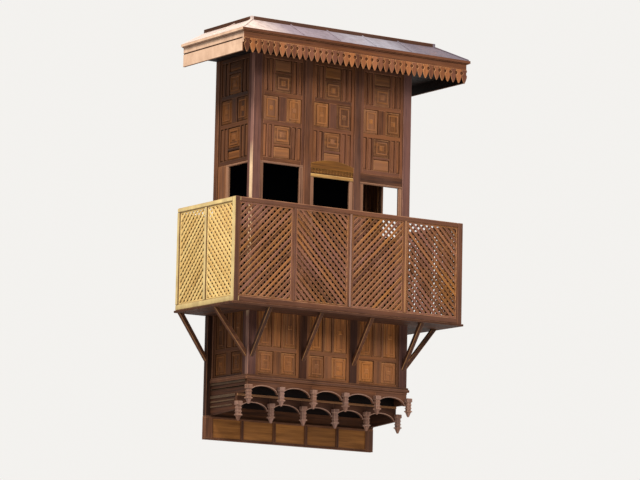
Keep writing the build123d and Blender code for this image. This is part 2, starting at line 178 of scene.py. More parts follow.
scene.view_settings.view_transform = "Standard"
world = bpy.data.worlds.new("studio")
scene.world = world
sky = Recipe(world)
ray = sky.node("LightPath").outputs
seen = sky.math("MAXIMUM", ray["Is Camera Ray"], ray["Is Glossy Ray"])
seen = sky.math("MAXIMUM", seen, ray["Is Transmission Ray"])
lighting = sky.node("Background", {"Color": sky_tone, "Strength": sky_strength})
backing = sky.node("Background", {"Color": background_tone, "Strength": 1})
sky.node("OutputWorld", {0: sky.node("MixShader", {0: seen, 1: lighting, 2: backing})})
print("sky strength", sky_strength)


# %% [markdown]
# Two big soft lamps do the rest. The first stands high on the left, as the sun does in the
# photograph, so the left returns, which also carry painted sunlight, are the brightest faces. The
# second stands high in front, so the eaves and the screen throw their soft shade on the panels
# below them, as they do in daylight.

# %% Lamps
bay_middle = Vector((0, -0.5, 2.0))


def soft_lamp(name, place, size, watts, tone):
    """A square area lamp that points at the middle of the bay."""
    data = bpy.data.lights.new(name, "AREA")
    data.shape, data.size, data.energy, data.color = "SQUARE", size, watts, tone
    lamp = placed(name, data)
    lamp.location = place
    lamp.rotation_mode = "QUATERNION"
    lamp.rotation_quaternion = (bay_middle - Vector(place)).to_track_quat("-Z", "Y")


soft_lamp("key_lamp", (-8.5, -4.0, 12.0), 4.0, 2100, (1.0, 0.95, 0.87))
soft_lamp("front_lamp", (1.5, -11.5, 8.0), 5.0, 1150, (1.0, 0.96, 0.91))


# %% [markdown]
# The bay hangs in the air here, so a pale disc far below it is the floor and catches its shadow.
# The disc fades out at its rim, so no edge shows against the background. A shader can tell the two
# sides of a face apart, and here a camera that stands below the floor looks through it.

# %% Floor
floor_level = -5.0
floor_radius = 12.0
floor_fade_start = 6.0
floor_sides = 96
floor_grit_scale = 3
floor_tones = (0.86, 0.85, 0.83, 1), (0.90, 0.89, 0.87, 1)


def flat_sheet(name, ring, material):
    """A sheet of one face between the points of a ring."""
    mesh = bpy.data.meshes.new(name)
    mesh.from_pydata(ring, [], [list(range(len(ring)))])
    mesh.materials.append(material)
    return placed(name, mesh)


def clear_from_behind(recipe, shader, fade=0.0):
    """Ends a recipe whose faces are clear to a camera behind them, and everywhere by a share."""
    camera_ray = recipe.node("LightPath").outputs["Is Camera Ray"]
    behind = recipe.node("NewGeometry").outputs["Backfacing"]
    hidden = recipe.math("MAXIMUM", fade, recipe.times(camera_ray, behind))
    clear = recipe.node("BsdfTransparent")
    recipe.node("OutputMaterial", {0: recipe.node("MixShader", {0: hidden, 1: shader, 2: clear})})
    return recipe.owner


paper = Recipe(bpy.data.materials.new("floor_paper"))
spot = paper.node("TexCoord").outputs["Object"]
reach = paper.node("VectorMath", {0: paper.stretched(spot, (1, 1, 0))}, operation="LENGTH")
fade = paper.ranged(reach.outputs["Value"], floor_fade_start, floor_radius)
fade.interpolation_type = "SMOOTHSTEP"
grit = paper.node("TexNoise", {"Vector": spot, "Scale": floor_grit_scale})
matt = paper.node("BsdfDiffuse", {"Color": paper.mix(grit, *floor_tones)})
rim = [2 * math.pi * i / floor_sides for i in range(floor_sides)]
ring = [(floor_radius * math.cos(a), floor_radius * math.sin(a), floor_level) for a in rim]
floor = flat_sheet("floor", ring, clear_from_behind(paper, matt, fade))
print("floor at", floor_level, "radius", floor_radius)


# %% [markdown]
# The windows of the real bay look into a dark room, and the ledges beside the cabin end at a
# shaded wall. Here there is no house, so flat dark cards stand in those three openings. They are
# part of the stage, not of the bay, and only keep the pale background from shining through. Seen
# from the room side they are clear, so a look from behind goes into the cabin.

# %% Dark cards in the openings to the house
card_depth = -0.002
# the near-black of the cards is painted shade for the dark room and the shaded wall
room_tone = (0.004, 0.004, 0.006, 1)
cabin_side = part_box("wall_posts")[1].x
screen_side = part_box("side_lattice_right")[0].x
doorway_low, doorway_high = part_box("wall_head")
ledge_level, screen_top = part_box("screen_posts")[0].z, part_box("front_lattice_1")[1].z

shade = Recipe(bpy.data.materials.new("room_shade"))
unlit = {"Base Color": room_tone, "Roughness": 1, "Specular IOR Level": 0}
room_shade = clear_from_behind(shade, shade.node("BsdfPrincipled", unlit))
for name, left, right, bottom, top in (
    ("dark_room", doorway_low.x, doorway_high.x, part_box("floor_deck")[1].z, doorway_low.z),
    ("left_wall_shade", -screen_side, -cabin_side, ledge_level, screen_top),
    ("right_wall_shade", cabin_side, screen_side, ledge_level, screen_top),
):
    corners = (left, bottom), (right, bottom), (right, top), (left, top)
    card = flat_sheet(name, [(x, card_depth, z) for x, z in corners], room_shade)


# %% [markdown]
# ## Boards
# Nearly all of the bay is boards. A real board has planed-off edges that catch the light. A Bevel
# modifier could cut them, but here the block is worked out once: three points at each corner, one
# for each face that meets there, then six big faces, twelve narrow edges and eight tiny corners.

# %% Block with planed edges
# widths of a planed edge, from a hidden backing board to the rail of the screen
crisp_edge, thin_edge, bead_edge, plain_edge = 0.001, 0.002, 0.0025, 0.003
eased_edge, rubbed_edge, post_edge, rail_edge = 0.004, 0.005, 0.006, 0.008
pulled_in = 0.9
block_corners = [(x, y, z) for x in (-1, 1) for y in (-1, 1) for z in (-1, 1)]


def block_faces():
    """Faces of a block as (ring, is_edge). Point 3 * corner + axis lies on that axis's face."""
    points = [
        Vector([s * (1 if a == axis else pulled_in) for a, s in enumerate(corner)])
        for corner in block_corners for axis in range(3)
    ]
    faces = []
    for axis in range(3):
        b, c = (axis + 1) % 3, (axis + 2) % 3
        for side in (-1, 1):
            ring = [i for i, corner in enumerate(block_corners) if corner[axis] == side]
            ring.sort(key=lambda i: math.atan2(block_corners[i][c], block_corners[i][b]))
            faces.append(([3 * i + axis for i in ring], 0))
        for signs in ((-1, -1), (-1, 1), (1, -1), (1, 1)):
            low, high = [i for i, k in enumerate(block_corners) if (k[b], k[c]) == signs]
            faces.append(([3 * low + b, 3 * high + b, 3 * high + c, 3 * low + c], 1))
    faces += [([3 * i, 3 * i + 1, 3 * i + 2], 1) for i in range(8)]
    turned = []
    for ring, edge in faces:
        p = [points[i] for i in ring]
        outward = (p[1] - p[0]).cross(p[2] - p[1]).dot(sum(p, Vector())) > 0
        turned.append((ring if outward else ring[::-1], edge))
    return turned


block_rings = block_faces()
print("a board has", 3 * len(block_corners), "points and", len(block_rings), "faces")


# %% [markdown]
# A piece, such as a wall, is many boards in one mesh. Three things are stored with each board as
# attributes: where each point lies along the grain, the board's tone, and which faces are planed
# edges, which the timber paints paler as wear and as a highlight. A material can read all three,
# whatever way the board is turned. The tone and the part of the grain pattern are drawn at random,
# with the piece's name as the seed, so a render repeats.

# %% A piece made of boards
made_pieces = []
grain_shift, widest_edge = 40, 0.45


class Joinery:
    """Collects the boards of one piece and turns them into one mesh."""

    def __init__(self, name):
        self.name = name
        self.place = Matrix.Identity(4)
        self.chance = random.Random(f"{name}0")
        self.points, self.grain, self.tones, self.faces, self.edges = [], [], [], [], []

    def add(self, points, faces, grain, tone=None, place=None):
        """Adds one board: its points, its (ring, is_edge) faces and its points along the grain."""
        matrix = self.place @ (place or Matrix.Identity(4))
        mirrored = matrix.determinant() < 0
        start = len(self.points)
        shift = Vector([self.chance.uniform(-grain_shift, grain_shift) for _ in range(3)])
        tone = self.chance.uniform(-1, 1) if tone is None else tone
        self.points += [matrix @ Vector(p) for p in points]
        self.grain += [Vector(g) + shift for g in grain]
        self.tones += [tone] * len(points)
        for ring, edge in faces:
            ring = [start + i for i in ring]
            self.faces.append(ring[::-1] if mirrored else ring)
            self.edges.append(float(edge))

    def board(self, low, high, edge=plain_edge, along=None, tone=None, place=None):
        """A board between two corners; its grain runs along its longest side or a given axis."""
        low, high = Vector(map(min, low, high)), Vector(map(max, low, high))
        middle, half = (low + high) / 2, (high - low) / 2
        edge = min(edge, widest_edge * min(half))
        order = sorted(range(3), key=lambda a: -half[a])
        if along is not None:
            order.sort(key=lambda a: a != along)
        points = []
        for corner in block_corners:
            for axis in range(3):
                reach = [s * (half[a] - (0 if a == axis else edge)) for a, s in enumerate(corner)]
                points.append(middle + Vector(reach))
        grain = [Vector([(p - middle)[a] for a in order]) for p in points]
        self.add(points, block_rings, grain, tone, place)

    def make(self, finish, slot, nodes=()):
        """The finished piece: one mesh that stands for the named nodes of the solid model."""
        mesh = bpy.data.meshes.new(self.name)
        mesh.from_pydata([tuple(p) for p in self.points], [], self.faces)
        mesh.validate()
        for name, kind, domain, field, values in (
            ("grain", "FLOAT_VECTOR", "POINT", "vector", [c for g in self.grain for c in g]),
            ("tone", "FLOAT", "POINT", "value", self.tones),
            ("edge", "FLOAT", "FACE", "value", self.edges),
        ):
            mesh.attributes.new(name, kind, domain).data.foreach_set(field, values)
        mesh.materials.append(finishes[finish])
        piece = placed(self.name, mesh)
        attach(piece, "root")
        if nodes:
            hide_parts(*nodes)
        made_pieces.append(piece)


print("a piece shifts its grain by up to", grain_shift, "m")


# %% [markdown]
# Curved boards, such as an arch, start as a flat outline. A 2D curve in Blender fills its outline
# and can be given a thickness and narrow planed edges. Its mesh is then added to the piece like
# any other board. Fields and drops taper instead, from one ring of four points to another.

# %% Boards cut to an outline, and tapered blocks
slanted_face = (0.2, 0.98)
# share of the paler edge colour, wear and painted highlight, on a slope
slope_edge_mark = 0.7


def worked_out(thing):
    """Points and (ring, normal) faces of an object after its modifiers; the object is deleted."""
    bpy.context.view_layer.update()
    graph = bpy.context.evaluated_depsgraph_get()
    mesh = bpy.data.meshes.new_from_object(thing.evaluated_get(graph))
    points = [v.co.copy() for v in mesh.vertices]
    faces = [(list(f.vertices), f.normal.copy()) for f in mesh.polygons]
    bpy.data.batch_remove((thing, thing.data, mesh))
    return points, faces


def along_grain(points, upright):
    """The points with the direction of the grain as their first value."""
    return [(z, x, y) if upright else (x, z, y) for x, y, z in points]


def cut_board(piece, outline, front, back, edge=plain_edge, place=None, tone=None, upright=False):
    """Adds a board with this outline in (x, z) to the piece, between two depths along y."""
    curve = bpy.data.curves.new("outline", "CURVE")
    curve.dimensions, curve.fill_mode = "2D", "BOTH"
    curve.extrude = (back - front) / 2 - edge
    curve.bevel_depth, curve.bevel_resolution, curve.offset = edge, 0, -edge
    area = sum(a[0] * b[1] - b[0] * a[1] for a, b in zip(outline, outline[1:] + outline[:1]))
    spline = curve.splines.new("POLY")
    spline.points.add(len(outline) - 1)
    for point, (x, z) in zip(spline.points, outline if area > 0 else outline[::-1]):
        point.co = (x, z, 0, 1)
    spline.use_cyclic_u = True
    flat_points, flat_faces = worked_out(placed("outline", curve))
    points = [(p.x, (front + back) / 2 - p.z, p.y) for p in flat_points]
    least, most = slanted_face
    faces = [(ring, least < abs(normal.z) < most) for ring, normal in flat_faces]
    piece.add(points, faces, along_grain(points, upright), tone, place)


def tapered_block(piece, first, last, edge_mark_share, upright, tone=None, place=None):
    """Adds a block between two rings of four points; its four slopes get the paler edge colour by a
    share.
    """
    points = [*first, *last]
    faces = [([4, 5, 6, 7], 0), ([0, 3, 2, 1], 0)]
    faces += [([i, (i + 1) % 4, 4 + (i + 1) % 4, 4 + i], edge_mark_share) for i in range(4)]
    piece.add(points, faces, along_grain(points, upright), tone, place)


def raised_field(piece, low, high, front, back, slope, tone):
    """Adds a field with sloping sides: (x, z) corners low and high, its top at depth front."""
    (x0, z0), (x1, z1) = low, high
    rings = []
    for depth, s in ((back, 0), (front, slope)):
        corners = (x0 + s, z0 + s), (x1 - s, z0 + s), (x1 - s, z1 - s), (x0 + s, z1 - s)
        rings.append([(x, depth, z) for x, z in corners])
    tapered_block(piece, *rings, slope_edge_mark, z1 - z0 >= x1 - x0, tone)


print("worn share of a slope", slope_edge_mark)


# %% [markdown]
# ## Timber
# One recipe gives every kind of wood on the bay. Streaks come from a noise that is stretched along
# the grain, cracks from a finer one that is cut off hard. Each board is a little lighter or darker
# than the next, old oil has turned mauve where the sun reaches it, planed edges are paler, as
# rubbed wear and as a painted highlight, and faces that look up are paler, as dust and as painted
# light from above. The outer faces of the left end get painted sunlight, with painted half-light
# where the eaves and the ledge shade them, and some posts get painted shade below the ledge.
# Roughness and bump come from the same streaks.

# %% Timber recipe
streak_stretch, fibre_stretch, crack_stretch = (1.4, 26, 26), (7, 260, 260), (2.2, 95, 95)
mottle_stretch = (9, 9, 5)
patch_scale, age_scale = 2.3, 0.35
crack_share, crack_tone = 0.55, (0.012, 0.006, 0.004, 1)
# dust and painted light on faces that look up
dust_and_top_light_share, dust_and_top_light_tone = 0.35, (170, 148, 118)
# painted half-light on the sunlit left faces, where the eaves and the ledge shade them
half_sun_share, half_sun_tone = 0.45, (176, 130, 116)
# painted shade below the ledge on the posts right of the left corner; the zone below the ledge also
# dims the painted sunlight
ledge_shade_tone, ledge_shade_height, ledge_shade_side = (34, 14, 10), (0.95, 1.45), (-0.9, -0.8)
ledge_zone = (1.10, 1.25)
# where the painted sunlight lies: the left end, faces turned left, and out from a given depth
left_end, turned_left, fade_depth = (-0.95, -0.9), (0.5, 0.9), 0.01
timber_gloss = 0.1
bump_strength, bump_depth, crack_depth = 0.45, 0.0015, -1.2
streak_range, crack_range, fibre_share = (0.30, 0.72), (0.30, 0.36), (-0.08, 0.08)


def srgb(red, green, blue):
    """A colour from 0 to 255 as the linear values that a shader works with."""
    shares = [value / 255 for value in (red, green, blue)]
    return (*(v / 12.92 if v <= 0.04045 else ((v + 0.055) / 1.055) ** 2.4 for v in shares), 1)


def paint_sunlit_faces(r, colour, spot, facing, mottle, sunlit_tone, start, end, depth):
    """Painted sunlight on the outer faces of the left end: pale up to the height start, and painted
    half-light above end and at the ledge, where eaves and ledge shade them.
    """
    height = spot["Z"]
    sunned = r.ranged(r.times(facing["X"], -1.0), *turned_left)
    sunned = r.times(sunned, r.ranged(spot["X"], *left_end, 1, 0))
    sunned = r.times(sunned, r.ranged(mottle, 0.3, 0.7, 0.6, 1.0))
    sunned = r.times(sunned, r.ranged(spot["Y"], depth, depth + fade_depth, 1, 0))
    outside = r.math("MAXIMUM", r.ranged(height, start, end), r.ranged(height, *ledge_zone, 1, 0))
    colour = r.mix(r.times(r.times(sunned, outside), half_sun_share), colour, srgb(*half_sun_tone))
    pale = r.times(r.ranged(height, start, end, 1, 0), r.ranged(height, *ledge_zone, 0.05, 1))
    return r.mix(r.times(sunned, pale), colour, srgb(*sunlit_tone))


def timber(name, dark, light, weather, weather_share, edge_wear_and_highlight, edge_wear_and_highlight_share,
           spread=0.13, painted_sun=None, ledge_shade_share=0.0):
    """Old hardwood: streaks between two tones, weathering, edges paler as wear and painted
    highlight, dust and painted light on faces that look up, and, when given, painted shade below
    the ledge and painted sunlight.
    """
    r = Recipe(bpy.data.materials.new(name))
    grain = r.node("Attribute", attribute_name="grain").outputs["Vector"]
    tone = r.node("Attribute", attribute_name="tone").outputs["Fac"]
    edge = r.node("Attribute", attribute_name="edge").outputs["Fac"]
    position = r.node("TexCoord").outputs["Object"]
    spot = r.node("SeparateXYZ", {0: position}).outputs
    facing = r.node("SeparateXYZ", {0: r.node("NewGeometry").outputs["Normal"]}).outputs
    streaks = r.noise(r.stretched(grain, streak_stretch), 5, 0.62)
    fibres = r.noise(r.stretched(grain, fibre_stretch), 3, 0.6)
    cracks = r.ranged(r.noise(r.stretched(grain, crack_stretch), 2, 0.5), *crack_range, 1, 0)
    patches = r.noise(position, 3, 0.55, patch_scale)
    mottle = r.noise(r.stretched(position, mottle_stretch), 4, 0.6)
    age = r.noise(grain, 0, 0.5, age_scale)

    share = r.plus(streaks, r.times(tone, spread))
    share = r.plus(share, r.ranged(fibres, 0.3, 0.7, *fibre_share))
    colour = r.mix(r.ranged(share, *streak_range), srgb(*dark), srgb(*light))
    faded = r.times(r.ranged(patches, 0.35, 0.68), r.ranged(mottle, 0.25, 0.75, 0.4, 1.0))
    faded = r.plus(faded, r.ranged(age, 0.45, 0.6, 0.0, 0.8))
    colour = r.mix(r.times(faded, weather_share), colour, srgb(*weather))
    colour = r.mix(r.times(cracks, crack_share), colour, crack_tone)
    # planed edges paler, as rubbed wear and as a painted highlight
    pale_edge = r.times(edge, r.ranged(mottle, 0.3, 0.62, 0.25, 1.0))
    colour = r.mix(r.times(pale_edge, edge_wear_and_highlight_share), colour, srgb(*edge_wear_and_highlight))
    # painted shade below the ledge
    if ledge_shade_share:
        below = r.ranged(spot["Z"], *ledge_shade_height, ledge_shade_share, 0.0)
        colour = r.mix(r.times(below, r.ranged(spot["X"], *ledge_shade_side)), colour, srgb(*ledge_shade_tone))
    # painted sunlight on the outer faces of the left end
    if painted_sun:
        colour = paint_sunlit_faces(r, colour, spot, facing, mottle, *painted_sun)
    # faces that look up are paler, as dust and as painted light
    dust_and_top_light = r.times(r.ranged(facing["Z"], 0.6, 0.98), r.ranged(mottle, 0.35, 0.7))
    colour = r.mix(r.times(dust_and_top_light, dust_and_top_light_share), colour, srgb(*dust_and_top_light_tone))
    height = r.plus(r.plus(fibres, streaks), r.times(cracks, crack_depth))
    rough = r.ranged(r.plus(streaks, fibres), 0.7, 1.3, 0.56, 0.78)
    gloss = {"Specular IOR Level": timber_gloss}
    return r.surface(colour, rough, height, bump_strength, bump_depth, gloss)


print("streaks", streak_stretch[1] / streak_stretch[0], "times as long as wide")


# %% [markdown]
# The kinds of wood differ only in their tones. The frames are darker than the fields in them, the
# carved corbel is grey with age, the lattice on the left is painted pale gold as sunlight, the back
# slats and the side walls of the cabin are painted darker as shade, and the lining behind the
# arches and the soffit are painted nearly black as shade. The tones are colours that a picture
# program would show.

# %% Kinds of timber
full_height = (5.0, 6.0)
full_depth = 1.0
sunlit_strip_depth = 0.045
# for each wood: dark streaks, light streaks, weathered tone and share, edge tone and share (rubbed
# wear and painted highlight)
timber_tones = {
    "panel": ((66, 37, 20), (162, 103, 53), (132, 90, 66), 0.5, (190, 137, 92), 0.65),
    "frame": ((50, 28, 18), (112, 69, 42), (106, 74, 60), 0.4, (158, 108, 76), 0.6),
    "upper_frame": ((56, 31, 19), (128, 79, 46), (118, 77, 60), 0.45, (174, 119, 82), 0.65),
    "low_panel": ((76, 42, 20), (172, 108, 54), (138, 92, 64), 0.4, (194, 140, 90), 0.6),
    "low_frame": ((62, 35, 19), (140, 86, 47), (120, 82, 60), 0.4, (174, 120, 80), 0.6),
    # painted shade: darker copies of panel and frame for the side walls
    "side_panel": ((50, 27, 14), (122, 74, 36), (92, 58, 36), 0.3, (142, 94, 56), 0.5),
    "side_frame": ((42, 23, 14), (96, 58, 34), (80, 50, 36), 0.3, (126, 84, 54), 0.55),
    "corner_post": ((62, 36, 30), (120, 78, 60), (118, 84, 78), 0.5, (168, 124, 104), 0.6),
    "middle_post": ((52, 29, 20), (116, 72, 45), (110, 78, 66), 0.4, (158, 108, 80), 0.6),
    "dark": ((34, 18, 12), (86, 52, 34), (74, 50, 40), 0.35, (132, 90, 66), 0.6),
    # painted shade: nearly black, for the soffit, the corbel lining and the inner faces of the
    # eaves
    "painted_shade_black": ((12, 7, 6), (34, 20, 15), (28, 19, 16), 0.3, (44, 28, 22), 0.5),
    "base": ((118, 74, 36), (184, 122, 64), (144, 98, 60), 0.4, (196, 142, 92), 0.55),
    "cheek_band": ((56, 40, 28), (104, 78, 56), (92, 74, 58), 0.5, (128, 100, 76), 0.5),
    "carved": ((84, 54, 42), (154, 112, 90), (142, 112, 102), 0.5, (188, 150, 128), 0.7),
    "sash": ((96, 62, 46), (158, 114, 86), (140, 104, 84), 0.4, (188, 148, 118), 0.6),
    "golden_head": ((62, 36, 14), (132, 84, 34), (102, 68, 34), 0.3, (172, 128, 68), 0.7),
    "pale_lip": ((140, 96, 48), (214, 172, 100), (188, 144, 86), 0.3, (230, 198, 138), 0.6),
    "screen": ((48, 28, 20), (108, 68, 47), (96, 66, 54), 0.4, (150, 104, 76), 0.55),
    "stile_bead": ((110, 70, 44), (176, 124, 80), (146, 106, 80), 0.35, (200, 154, 112), 0.6),
    "slat": ((68, 38, 21), (148, 95, 47), (124, 82, 72), 0.6, (194, 146, 100), 0.85, 0.12),
    # painted shade: the back layer of slats is darker than the front
    "back_slat": ((54, 30, 17), (124, 80, 42), (108, 72, 62), 0.55, (166, 120, 80), 0.7, 0.10),
    # painted sunlight: the pale gold slats of the left side
    "sunned_slat": (
        (198, 155, 86), (234, 204, 135), (222, 187, 125), 0.35, (240, 215, 154), 0.7, 0.06
    ),
    "strut": ((40, 22, 15), (100, 62, 42), (84, 60, 50), 0.35, (182, 132, 84), 0.8),
    "fringe": ((72, 38, 22), (146, 90, 50), (122, 78, 60), 0.4, (186, 136, 92), 0.7, 0.26),
    "fascia": ((78, 42, 23), (134, 82, 47), (118, 78, 56), 0.35, (148, 102, 72), 0.5),
}
corner_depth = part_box("corner_posts")[0].y + sunlit_strip_depth
# painted sunlight on the left faces, and painted shade below the ledge
painted_sun_and_shade = {
    "corner_post": {"painted_sun": ((240, 206, 164), 2.68, 2.95, corner_depth), "ledge_shade_share": 0.5},
    "middle_post": {"ledge_shade_share": 0.7},
    "screen": {"painted_sun": ((228, 202, 140), *full_height, full_depth)},
    "fascia": {"painted_sun": ((212, 178, 151), *full_height, full_depth)},
}
finishes = {
    wood: timber(f"{wood}_wood", *tones, **painted_sun_and_shade.get(wood, {}))
    for wood, tones in timber_tones.items()
}
print("timber finishes", sorted(finishes))


# %% [markdown]
# ## Posts and beams
# The cabin is a frame of squared posts. They stay plain boards with planed edges, each in the place
# of its solid. A helper finds the separate blocks in a node's mesh by following its edges from
# point to point, and gives the box of each, so no size is typed twice.

# %% Plain boards
def solids_of(node):
    """Lowest and highest corner of each separate block in a node's mesh."""
    mesh = frame["nodes"][node].data
    places = [tuple(round(c, 5) for c in v.co) for v in mesh.vertices]
    group = {place: {place} for place in places}
    for edge in mesh.edges:
        small, large = sorted((group[places[i]] for i in edge.vertices), key=len)
        if small is not large:
            large |= small
            group.update(dict.fromkeys(small, large))
    blocks = {}
    for vertex, place in zip(mesh.vertices, places):
        blocks.setdefault(id(group[place]), []).append(vertex.co)
    boxes = [(Vector(map(min, *p)), Vector(map(max, *p))) for p in blocks.values()]
    return sorted(boxes, key=lambda box: tuple(round(c, 4) for c in box[0]))


def plain_boards(name, node, finish, slot, edge=plain_edge):
    """Replaces a node of plain blocks by boards of the same size."""
    piece = Joinery(name)
    for low, high in solids_of(node):
        piece.board(low, high, edge)
    piece.make(finish, slot, [node])


plain_boards("corner_posts_timber", "corner_posts", "corner_post", "post_timber", post_edge)
plain_boards("mid_posts_timber", "mid_posts", "middle_post", "post_timber", post_edge)
plain_boards("wall_posts_timber", "wall_posts", "frame", "post_timber", rubbed_edge)
plain_boards("wall_head_beam", "wall_head", "frame", "post_timber", rubbed_edge)
plain_boards("side_jamb_boards", "side_jambs", "panel", "panel_timber")
plain_boards("wall_cover_strips", "cover_strips", "dark", "dark_timber", rubbed_edge)
print("boards", [p.name for p in made_pieces])


# %% [markdown]
# ## Panelled walls
# Each wall below and above the windows is a frame of rails and stiles with raised fields in it. It
# is worked out on a flat drawing, with x along the wall and y as depth, and a matrix then turns
# that drawing to the front, the left or the right side of the cabin. A row is described by the
# shares that its recesses have of the width, and by the timber left between them.

# %% Row patterns
wall_thickness = 0.040
recess = 0.014
rail, stile, muntin, pair_muntin = 0.044, 0.034, 0.022, 0.096
bottom_row, square_row, pair_row = 0.301, 0.413, 0.307

strip_shares = ([1.8, 1, 1.8], muntin)
pair_shares = ([1, 1], pair_muntin)
centre_shares = ([0.35, 0.35, 1.6, 0.35, 0.35], muntin)
# for each wall: heights of the rows below its top row, and all its rows from the bottom up
wall_rows = {
    "lower": ([bottom_row], [pair_shares, strip_shares]),
    "upper": ([square_row, pair_row], [centre_shares, pair_shares, centre_shares]),
}


def spans(width, shares, gap):
    """Left and right edge of each recess of a row."""
    clear = width - 2 * stile - (len(shares) - 1) * gap
    left = stile
    made = []
    for part in shares:
        made.append((left, left + clear * part / sum(shares)))
        left = made[-1][1] + gap
    return made


def strip_ring(piece, low, high, width, front, back, edge=bead_edge, tone=None):
    """Four strips round a rectangle whose corners low and high are (x, z)."""
    (x0, z0), (x1, z1) = low, high
    for z in (z0, z1 - width):
        piece.board((x0, front, z), (x1, back, z + width), edge, 0, tone)
    for x in (x0, x1 - width):
        piece.board((x, front, z0 + width), (x + width, back, z1 - width), edge, 2, tone)


def quarter_turn(x, y, across, along):
    """A matrix that runs a drawing's x along Y and its depth along X, from the place (x, y)."""
    return Matrix(((0, across, 0, x), (along, 0, 0, y), (0, 0, 1, 0), (0, 0, 0, 1)))


print("spans of a centre row", [tuple(round(v, 3) for v in s) for s in spans(0.54, *centre_shares)])


# %% [markdown]
# The fields are the richest part. Each is a raised block with sloping sides, whose slopes are
# painted paler, as rubbed wear and as a painted highlight, in a groove whose backing board is
# painted dark as shade. The square ones carry a planted bead and a small block in the middle. A
# tall field is a square with a low field above or below it.

# %% Fields of one recess
# the backing board of each groove is painted dark as shade
groove_lap, groove_back, groove_shade_tone = 0.004, 0.032, -3.0
field_margin, field_slope, field_front = 0.006, 0.011, 0.004
smallest_bordered = 0.12
bead_inset, bead_strip = 0.028, 0.014
core_share, core_slope = 0.30, 0.007
planted = -0.003, 0.005
field_tones = -0.9, 1.1
bordered_tone, bead_tone, core_tone, strip_tone = -0.45, 0.95, 0.7, 1.2
square_height, tall_from = 0.97, 1.35


def panel_field(fields, x0, x1, z0, z1, contrast=0.0, lighter=0.0):
    """Backing board, raised field and planted square in one recess."""
    tone = fields.chance.uniform(*field_tones) + lighter
    back_low = (x0 - groove_lap, recess, z0 - groove_lap)
    back_high = (x1 + groove_lap, groove_back, z1 + groove_lap)
    fields.board(back_low, back_high, crisp_edge, 2, groove_shade_tone)
    low, high = (x0 + field_margin, z0 + field_margin), (x1 - field_margin, z1 - field_margin)
    width, height = high[0] - low[0], high[1] - low[1]
    bordered = min(width, height) >= smallest_bordered
    plate_tone = tone + bordered_tone * contrast if bordered else tone
    raised_field(fields, low, high, field_front, recess, field_slope, plate_tone)
    if not bordered:
        return
    ring_low = low[0] + bead_inset, low[1] + bead_inset
    ring_high = high[0] - bead_inset, high[1] - bead_inset
    ring_tone = tone + bead_tone * contrast
    strip_ring(fields, ring_low, ring_high, bead_strip, *planted, bead_edge, ring_tone)
    half, x, z = core_share * width / 2, (x0 + x1) / 2, (z0 + z1) / 2
    core = (x - half, z - half), (x + half, z + half)
    raised_field(fields, *core, *planted, core_slope, tone + core_tone * contrast)


def tall_field(frames, fields, x0, x1, z0, z1, square_on_top, contrast):
    """A square field with a low field above or below it, and a rail between them."""
    square = (x1 - x0) * square_height
    if z1 - z0 < tall_from * square:
        panel_field(fields, x0, x1, z0, z1, contrast)
        return
    cut = z1 - square if square_on_top else z0 + square
    bottom, top = (cut - muntin, cut) if square_on_top else (cut, cut + muntin)
    frames.board((x0, 0, bottom), (x1, wall_thickness, top))
    parts = [(z0, bottom), (top, z1)]
    for bottom, top in parts[::-1] if square_on_top else parts:
        panel_field(fields, x0, x1, bottom, top, contrast)


print("fields from", smallest_bordered, "m carry a bead")


# %% [markdown]
# Now the walls themselves. Frame and fields are two pieces, as they have two finishes. The wall of
# the left side is drawn once and mirrored to the right: a mirrored board would be turned inside
# out, so the class above runs its faces the other way round. The upper walls show more contrast.

# %% Front and side panelling
wall_contrast = {"lower": 0.3, "upper": 1.0}


def panelled_wall(node, frame_finish, field_finish, width, places):
    """Rails, stiles and fields of one wall, drawn flat and turned into each of its places."""
    frames, fields = Joinery(f"{node}_frame"), Joinery(f"{node}_fields")
    low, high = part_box(node)
    wall = node.split("_")[0]
    heights, rows = wall_rows[wall]
    contrast = wall_contrast[wall]
    lines = list(accumulate(heights, initial=low.z))[1:]
    levels = [low.z + rail / 2, *lines, high.z - rail / 2]
    for place in places:
        frames.place = fields.place = place
        for x0, x1 in ((0, stile), (width - stile, width)):
            frames.board((x0, 0, low.z), (x1, wall_thickness, high.z))
        for level in levels:
            bottom, top = level - rail / 2, level + rail / 2
            frames.board((stile, 0, bottom), (width - stile, wall_thickness, top))
        for index, (z0, z1, (shares, gap)) in enumerate(zip(levels, levels[1:], rows)):
            z0, z1 = z0 + rail / 2, z1 - rail / 2
            row = spans(width, shares, gap)
            for (_, left), (right, _) in zip(row, row[1:]):
                frames.board((left, 0, z0), (right, wall_thickness, z1))
            for x0, x1 in row:
                if shares is not centre_shares[0]:
                    panel_field(fields, x0, x1, z0, z1, contrast)
                elif x1 - x0 > smallest_bordered:
                    tall_field(frames, fields, x0, x1, z0, z1, index == 0, contrast)
                else:
                    panel_field(frames, x0, x1, z0, z1, 0.0, strip_tone)
    frames.make(frame_finish, "panel_timber", [node])
    fields.make(field_finish, "panel_timber")


for bay in (1, 2, 3):
    for level, pair in (("lower", ("low_frame", "low_panel")), ("upper", ("upper_frame", "panel"))):
        node = f"{level}_front_panel_{bay}"
        low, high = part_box(node)
        panelled_wall(node, *pair, high.x - low.x, [Matrix.Translation((low.x, low.y, 0))])

mirror_x = Matrix.Diagonal((-1, 1, 1, 1))
# the side walls take the darker finishes, which are painted shade
for node in ("lower_side_panels", "upper_side_panels"):
    low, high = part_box(node)
    left = quarter_turn(low.x, high.y, 1, -1)
    panelled_wall(node, "side_frame", "side_panel", high.y - low.y, [left, mirror_x @ left])
print("panelled pieces", len(made_pieces))


# %% [markdown]
# ## Windows
# The three lights in front stand open. Their stiles and rails are thin and pale. Each front light
# has a different head: a thin strip, a golden board, and a brown board with a pale lip. The solid
# heads differ in height and place, and that is how the loop below tells them apart.

# %% Window frames
plain_boards("window_stile_boards", "window_stiles", "sash", "sash_timber")

